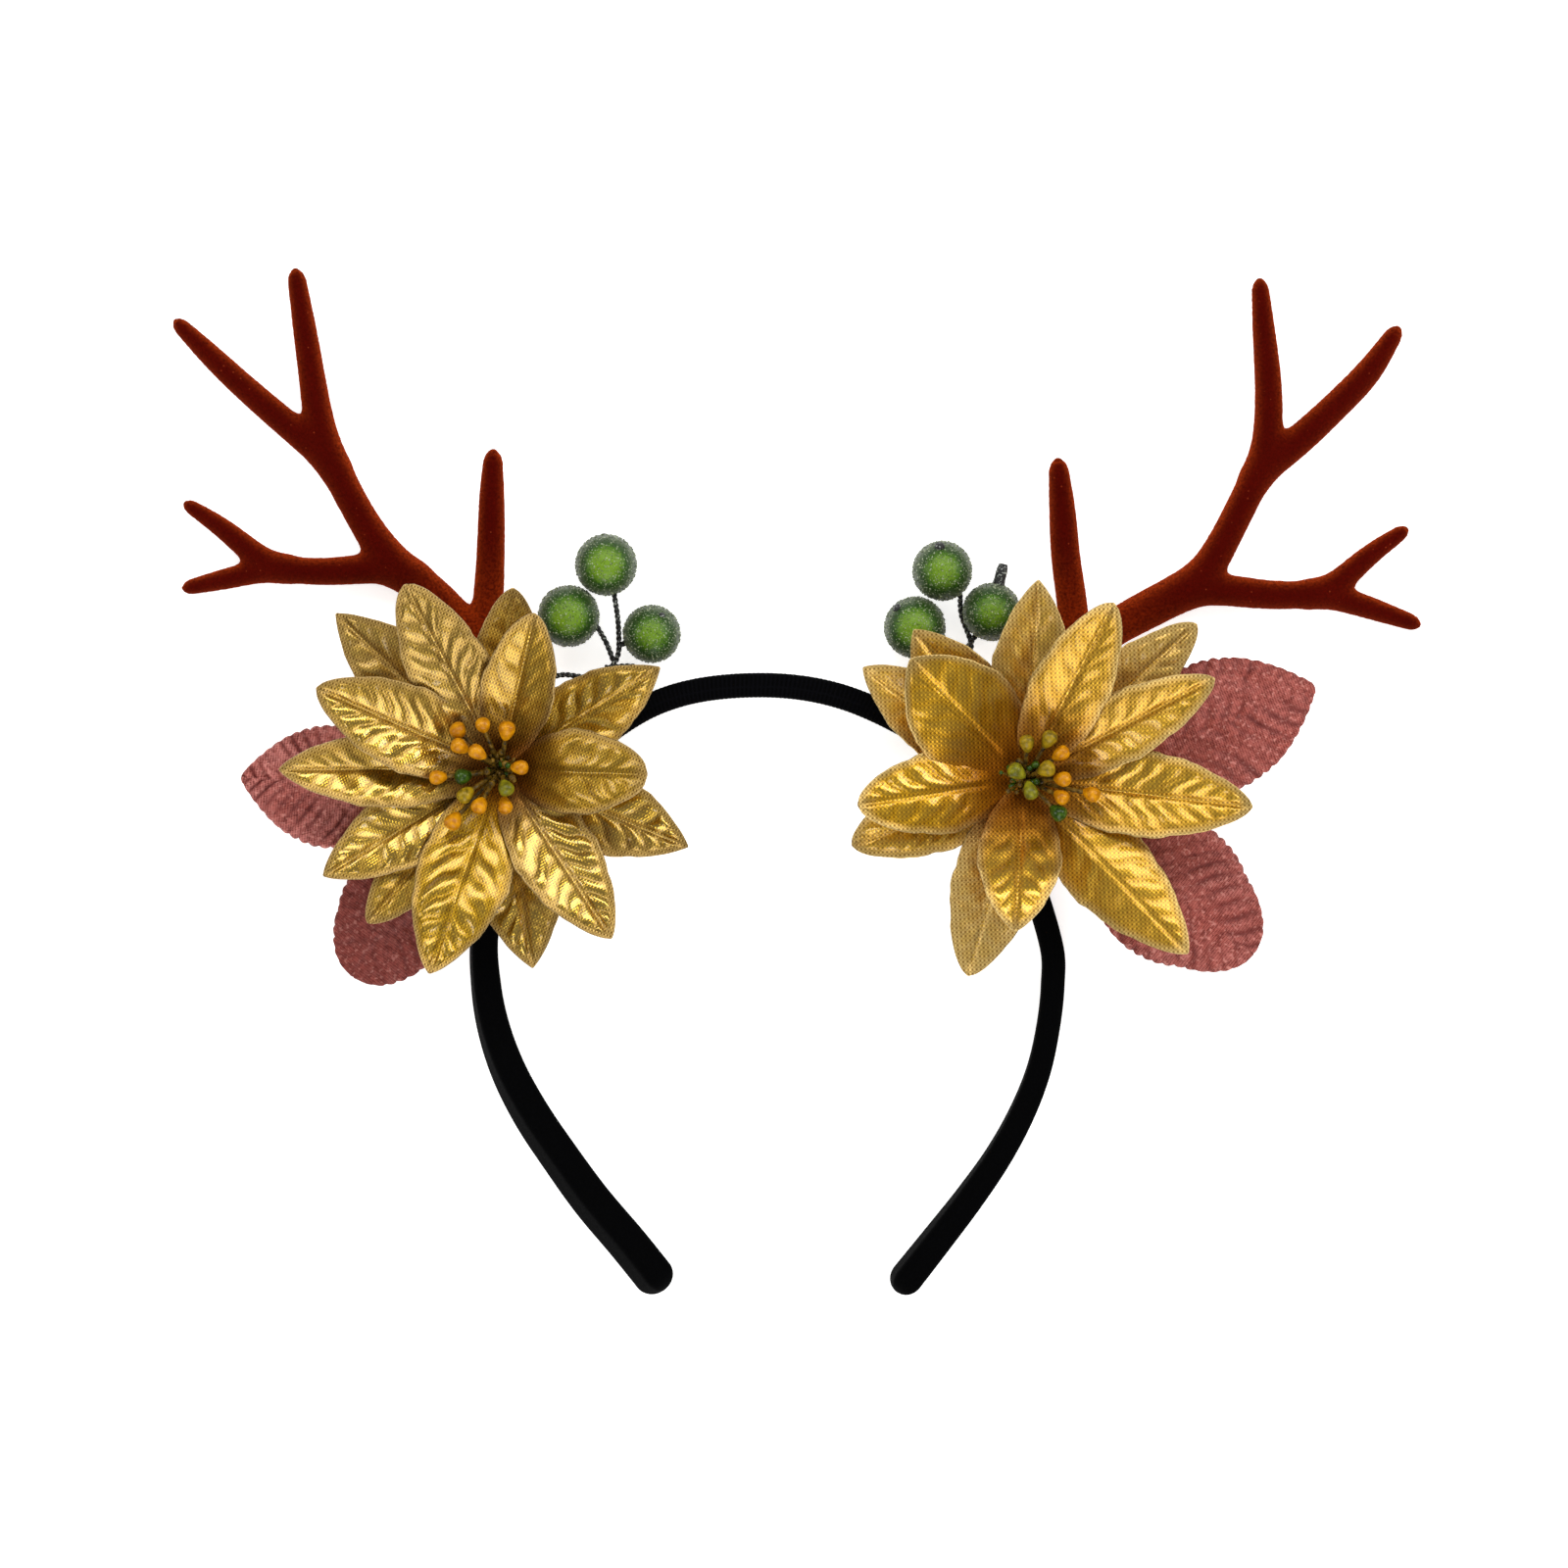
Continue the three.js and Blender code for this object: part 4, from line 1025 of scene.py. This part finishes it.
stamenForm = {
    "seeds": {"left": 13, "right": 10},
    "floor": 16.75,
    "hub": 2.4,
    "hubHeight": 1.4,
    "stem": 0.5,
    "stemSpacing": 0.4,
    "pipLength": 4.4,
    "pipRadius": 1.7,
    "threadEnds": 44,
    "threadLength": (2.5, 6.5),
    "threadRadius": (0.42, 0.26),  # foot and end
    "beadShare": 0.45,
    "beadRadius": (0.5, 0.95),
}
pipFinishes = {
    "amber": pipLacquer("amberLacquer", "#da9406", "#ac6a04", 0.35),
    "olive": pipLacquer("oliveLacquer", "#a88a14", "#64540c", 0.35),
    "lime": pipLacquer("limeLacquer", "#8c8818", "#58560e", 0.3),
    "bottle": pipLacquer("bottleGreenLacquer", "#3e5c14", "#1e340a", 0.2),
    "stem": pipLacquer("greenThread", "#806018", "#2c2008", 0.5),
}
pipsLeft = [  # x, y from the flower's centre, height over the floor, finish
    (-3.6, 9.4, 8.2, "amber"), (1.5, 8.3, 9, "amber"), (-8.6, 4.9, 8.4, "amber"), (-4.7, 3.6, 10.4, "amber"),
    (-9, 8.3, 6.6, "amber"), (4.2, 0.4, 10, "amber"), (-13.3, -1.7, 7, "amber"), (-4.3, -7.7, 9, "amber"),
    (-10, -11.1, 7.4, "amber"), (1.1, -7.7, 7.2, "amber"), (-7.3, -5.4, 8.2, "olive"),
    (1.3, -3.9, 9.6, "lime"), (-7.9, -1.5, 6.2, "bottle"),
]
pipsRight = [
    (0.4, 7.6, 9, "olive"), (5.1, 8.5, 8.4, "olive"), (-1.7, 1.5, 10.4, "lime"), (1.1, -2.4, 9.4, "lime"),
    (4.5, 2.1, 9.8, "olive"), (8, 0, 9, "amber"), (7.8, -3.8, 8.2, "amber"), (7.1, -7.2, 7.4, "bottle"),
    (14.3, -3.2, 7.6, "amber"), (7.7, 5.4, 7.4, "amber"),
]


def stamenParts(centre, rows, dice):
    form = stamenForm
    middle = np.array([*centre, form["floor"]])
    turn = np.linspace(0, np.pi / 2, 8)
    dome = middle + np.outer(form["hubHeight"] * np.sin(turn), [0, 0, 1])
    parts = [(tube(dome, np.maximum(form["hub"] * np.cos(turn), 0.02), sides=20), "stem")]
    at = np.linspace(-0.5, 0.5, 13)
    drop = np.sqrt(np.clip(1 - (2 * at) ** 2, 0, None)) * (1 + 0.7 * at)
    for x, y, height, kind in rows:
        base, tip = middle + [0.12 * x, 0.12 * y, 0.7], middle + [x, y, height]
        bend = (base + tip) / 2 + [0, 0, 1.2]
        path = evenly(curveThrough([base, bend, tip], steps=10), form["stemSpacing"])[0]
        knots = 1 + 0.15 * np.sin(np.arange(len(path)) * 1.7)
        parts.append((tube(path, form["stem"] * knots, sides=8), "stem"))
        out = math.hypot(x, y)
        ahead = unit(np.array([x, y, 0.45 * out]) + dice.normal(0, 0.12, 3) * out)
        swell = form["pipRadius"] * dice.uniform(0.88, 1.04) * np.maximum(drop, 0.03)
        path = tip + at[:, None] * form["pipLength"] * dice.uniform(0.88, 1.05) * ahead
        parts.append((tube(path, swell, sides=14), kind))
    for _ in range(form["threadEnds"]):  # short thread ends round the foot, some with a bead
        swing, lean = dice.uniform(0, 2 * np.pi), dice.uniform(0.3, 1.6)
        ahead = unit(np.array([math.cos(swing) * lean, math.sin(swing) * lean, 1.1]))
        length = dice.uniform(*form["threadLength"])
        path = middle + [0, 0, 0.6] + np.linspace(0.1, 1, 6)[:, None] * length * ahead
        path[1:, :2] += np.cumsum(dice.normal(0, 0.15, (5, 2)), axis=0)
        parts.append((tube(path, np.linspace(*form["threadRadius"], 6), sides=6), "stem"))
        if dice.random() < form["beadShare"]:
            bead = ballShape(path[-1], dice.uniform(*form["beadRadius"]), rings=7, sides=9)
            parts.append((bead, "bottle" if dice.random() < 0.3 else "stem"))
    return parts


for side, flower, rows in (("left", leftFlower, pipsLeft), ("right", rightFlower, pipsRight)):
    dice = np.random.default_rng(stamenForm["seeds"][side])
    parts = stamenParts(flower["centre"], rows, dice)
    kinds = sorted(set(kind for _, kind in parts))
    addMixed("thread_stamens_" + side, [(shape, kinds.index(kind)) for shape, kind in parts],
             [pipFinishes[kind] for kind in kinds], ["stamens_" + side])


berryForm = {
    "seed": 77,
    "height": 7,
    "core": 1.01,  # foam ball and the middles of the grains on it, in berry radii
    "grains": 1300,
    "grainSize": (0.25, 0.6),
    "grainClear": 0.4,
    "stubTaper": [1, 1, 1, 0.92, 0.95, 0.9, 0.7],
    "crown": 6.4,  # from the middle to the top
    # from the grey frosted flanks through painted shade of dark green to the painted highlight on the crown
    "tonesWithPaintedLight": [(0.42, "#48523e"), (0.6, "#3a4e26"), (0.7, "#1e3c06"), (0.79, "#264806"), (0.87, "#436a0a"),
              (1.0, "#6c9018")],
    "rows": [  # name, x, y, radius, stub angle, its slope upwards, its length, its radius
        ("berry_left_1", -35.1, 88.6, 6.6, 95, 0, 0.3, 0.6),
        ("berry_left_2", -43.3, 77.4, 6.6, 130, 0, 0.3, 0.7),
        ("berry_left_3", -25.1, 73.5, 6.2, 60, 42, 0.4, 0.8),
        ("berry_right_1", 38.5, 87.3, 6.4, 97, 36, 0.8, 1.2),
        ("berry_right_2", 32.5, 74.9, 6.6, 133, 30, 0.6, 1.1),
        ("berry_right_3", 49.3, 78.3, 6.2, 76, 0, 4.6, 1.35),
    ],
}


# Bright apple green on top as a painted highlight, dark green round it as painted shade, grey frosted flanks
def berryToneWithPaintedLight(tree, where):
    height = addNode(tree, "SeparateXYZ", {0: where}).outputs["Z"]
    mottle = noise(tree, where, scale=1 / (0.6 * mm), detail=3.0, Roughness=0.75)
    middle, crown = berryForm["height"] * mm, (berryForm["height"] + berryForm["crown"]) * mm
    # painted light by height: brighter towards the crown
    climb = rescale(tree, height, (middle, crown), (-0.1, 0.81))
    ramp = addNode(tree, "ValToRGB", {"Fac": calculate(tree, "MULTIPLY_ADD", mottle, 0.4, climb)})
    stops = ramp.color_ramp.elements
    stops.remove(stops[0])
    for k, (at, hexCode) in enumerate(berryForm["tonesWithPaintedLight"]):
        stop = stops.new(at) if k else stops[0]
        stop.position = at
        stop.color = linearColour(hexCode)
    return ramp.outputs["Color"], mottle


# Foam berry under a sugar-like frost: green and softly dull between the grains
def berryFoam():
    finish, tree = startFinish("frostedGreenFoam", {"Roughness": 0.4, "Specular IOR Level": 0.3})
    tone, mottle = berryToneWithPaintedLight(tree, objectPlace(tree))
    paint(tree, {"Base Color": tone, "Normal": bump(tree, mottle, strength=0.5, depth=0.1)})
    return finish


# Clear grains: they glint pale and let the green under them through
def sugarGrain():
    finish, tree = startFinish("sugarGrain", {"Roughness": 0.2})
    where = objectPlace(tree)
    glint = noise(tree, where, scale=1 / (0.8 * mm), detail=1.0)
    tint = blend(tree, rescale(tree, glint, (0.42, 0.62)), "#4e5e3a", "#c6d0ac")
    under = berryToneWithPaintedLight(tree, where)[0]
    paint(tree, {"Base Color": blend(tree, berryForm["grainClear"], tint, under)})
    return finish


# Black lacquered wire with scattered frost: dark lines with pale specks
def frostedWire():
    finish, tree = startFinish("blackFrostedWire", {"Roughness": 0.5})
    frost = noise(tree, objectPlace(tree), scale=1 / (0.45 * mm), detail=1.0)
    tint = blend(tree, rescale(tree, frost, (0.6, 0.68)), "#060706", "#a2a8a0")
    paint(tree, {"Base Color": tint})
    return finish


def grainCrust(middle, radius, dice):
    corners = np.array([(1, 0, 0), (-1, 0, 0), (0, 1, 0), (0, -1, 0), (0, 0, 1), (0, 0, -1)], float)
    sides = [(0, 2, 4), (2, 1, 4), (1, 3, 4), (3, 0, 4), (2, 0, 5), (1, 2, 5), (3, 1, 5), (0, 3, 5)]
    count = berryForm["grains"]
    order = np.arange(count) + 0.5
    lean = np.arccos(1 - 2 * order / count) + dice.normal(0, 0.03, count)
    swing = math.pi * (1 + math.sqrt(5)) * order + dice.normal(0, 0.04, count)
    way = np.stack([np.cos(swing) * np.sin(lean), np.sin(swing) * np.sin(lean), np.cos(lean)], axis=1)
    size = dice.uniform(*berryForm["grainSize"], count) / 2
    shapes = []
    for i in range(count):
        wobble = corners * size[i] * dice.uniform(0.6, 1.3, (6, 1))
        shapes.append((middle + way[i] * radius * berryForm["core"] + wobble, sides))
    return shapes


wireFinish = frostedWire()
berryFinishes = [berryFoam(), wireFinish, sugarGrain()]
berryDice = np.random.default_rng(berryForm["seed"])
for name, x, y, radius, stub, slope, stubLength, stubRadius in berryForm["rows"]:
    middle = np.array([x, y, berryForm["height"]])
    swing, climb = math.radians(stub), math.radians(slope)
    ahead = np.array([math.cos(swing) * math.cos(climb), math.sin(swing) * math.cos(climb), math.sin(climb)])
    taper = stubRadius * np.array(berryForm["stubTaper"])
    stubPath = middle + np.linspace(0.7 * radius, radius + stubLength, len(taper))[:, None] * ahead
    ball = ballShape(middle, radius * berryForm["core"], rings=40, sides=56)
    parts = [(ball, 0), (tube(stubPath, taper, sides=12), 1)]
    parts += [(grain, 2) for grain in grainCrust(middle, radius, berryDice)]
    piece, chosen = addMixed("frosted_" + name, parts, berryFinishes, [name])
    piece.data.polygons.foreach_set("use_smooth", (chosen < 2).tolist())  # grains keep their facets


wireForm = {
    "strand": 0.36,
    "offset": 0.28,
    "lay": 2.4,
    "spacing": 0.22,
    "sunk": 1.2,  # run into the berry
}
sprigs = {
    "sprig_left": [
        [(-33.3, 82, 7), (-32.6, 77.4, 7), (-32.3, 72.9, 7), (-32.5, 68.8, 7.4), (-34, 66.2, 8),
         (-38.9, 64.1, 9), (-45.3, 64.4, 9.3), (-51, 61, 9.4), (-52.5, 55, 9.4)],
        [(-36.8, 74.6, 7), (-35, 71.4, 7), (-33.5, 67.6, 7.4)],
        [(-31.3, 71.3, 7), (-32.4, 70.6, 7.1)],
        [(-34, 66.2, 8), (-29.5, 66.4, 8.3), (-26, 65.3, 8.4), (-24.1, 64, 8.4)],
    ],
    "sprig_right": [
        [(42.4, 81.8, 6), (42.7, 77.8, 4.2), (44.8, 71.6, 5), (44.7, 67.6, 7), (46, 62.5, 9), (49, 56, 9.4),
         (50.5, 51.5, 9.4)],
        [(45.6, 72.8, 6), (43.4, 68.9, 6.6), (45, 64.5, 8.4)],
        [(37.3, 69.8, 7), (40.5, 66.5, 7.6), (45.4, 63.6, 8.7)],
    ],
}
for name, wires in sprigs.items():
    strands = []
    for wire in wires:
        start = wire[0] + wireForm["sunk"] * unit(np.subtract(wire[0], wire[1]))
        path, run = evenly(curveThrough([start, *wire], steps=8), wireForm["spacing"])
        left, up = crossAxes(path)
        for strandTurn in (0, math.pi):
            swing = (2 * math.pi * run / wireForm["lay"] + strandTurn)[:, None]
            line = path + wireForm["offset"] * (np.cos(swing) * left + np.sin(swing) * up)
            strands.append(tube(line, wireForm["strand"], sides=8))
    addPiece("twisted_" + name, gather(strands), wireFinish, [name])
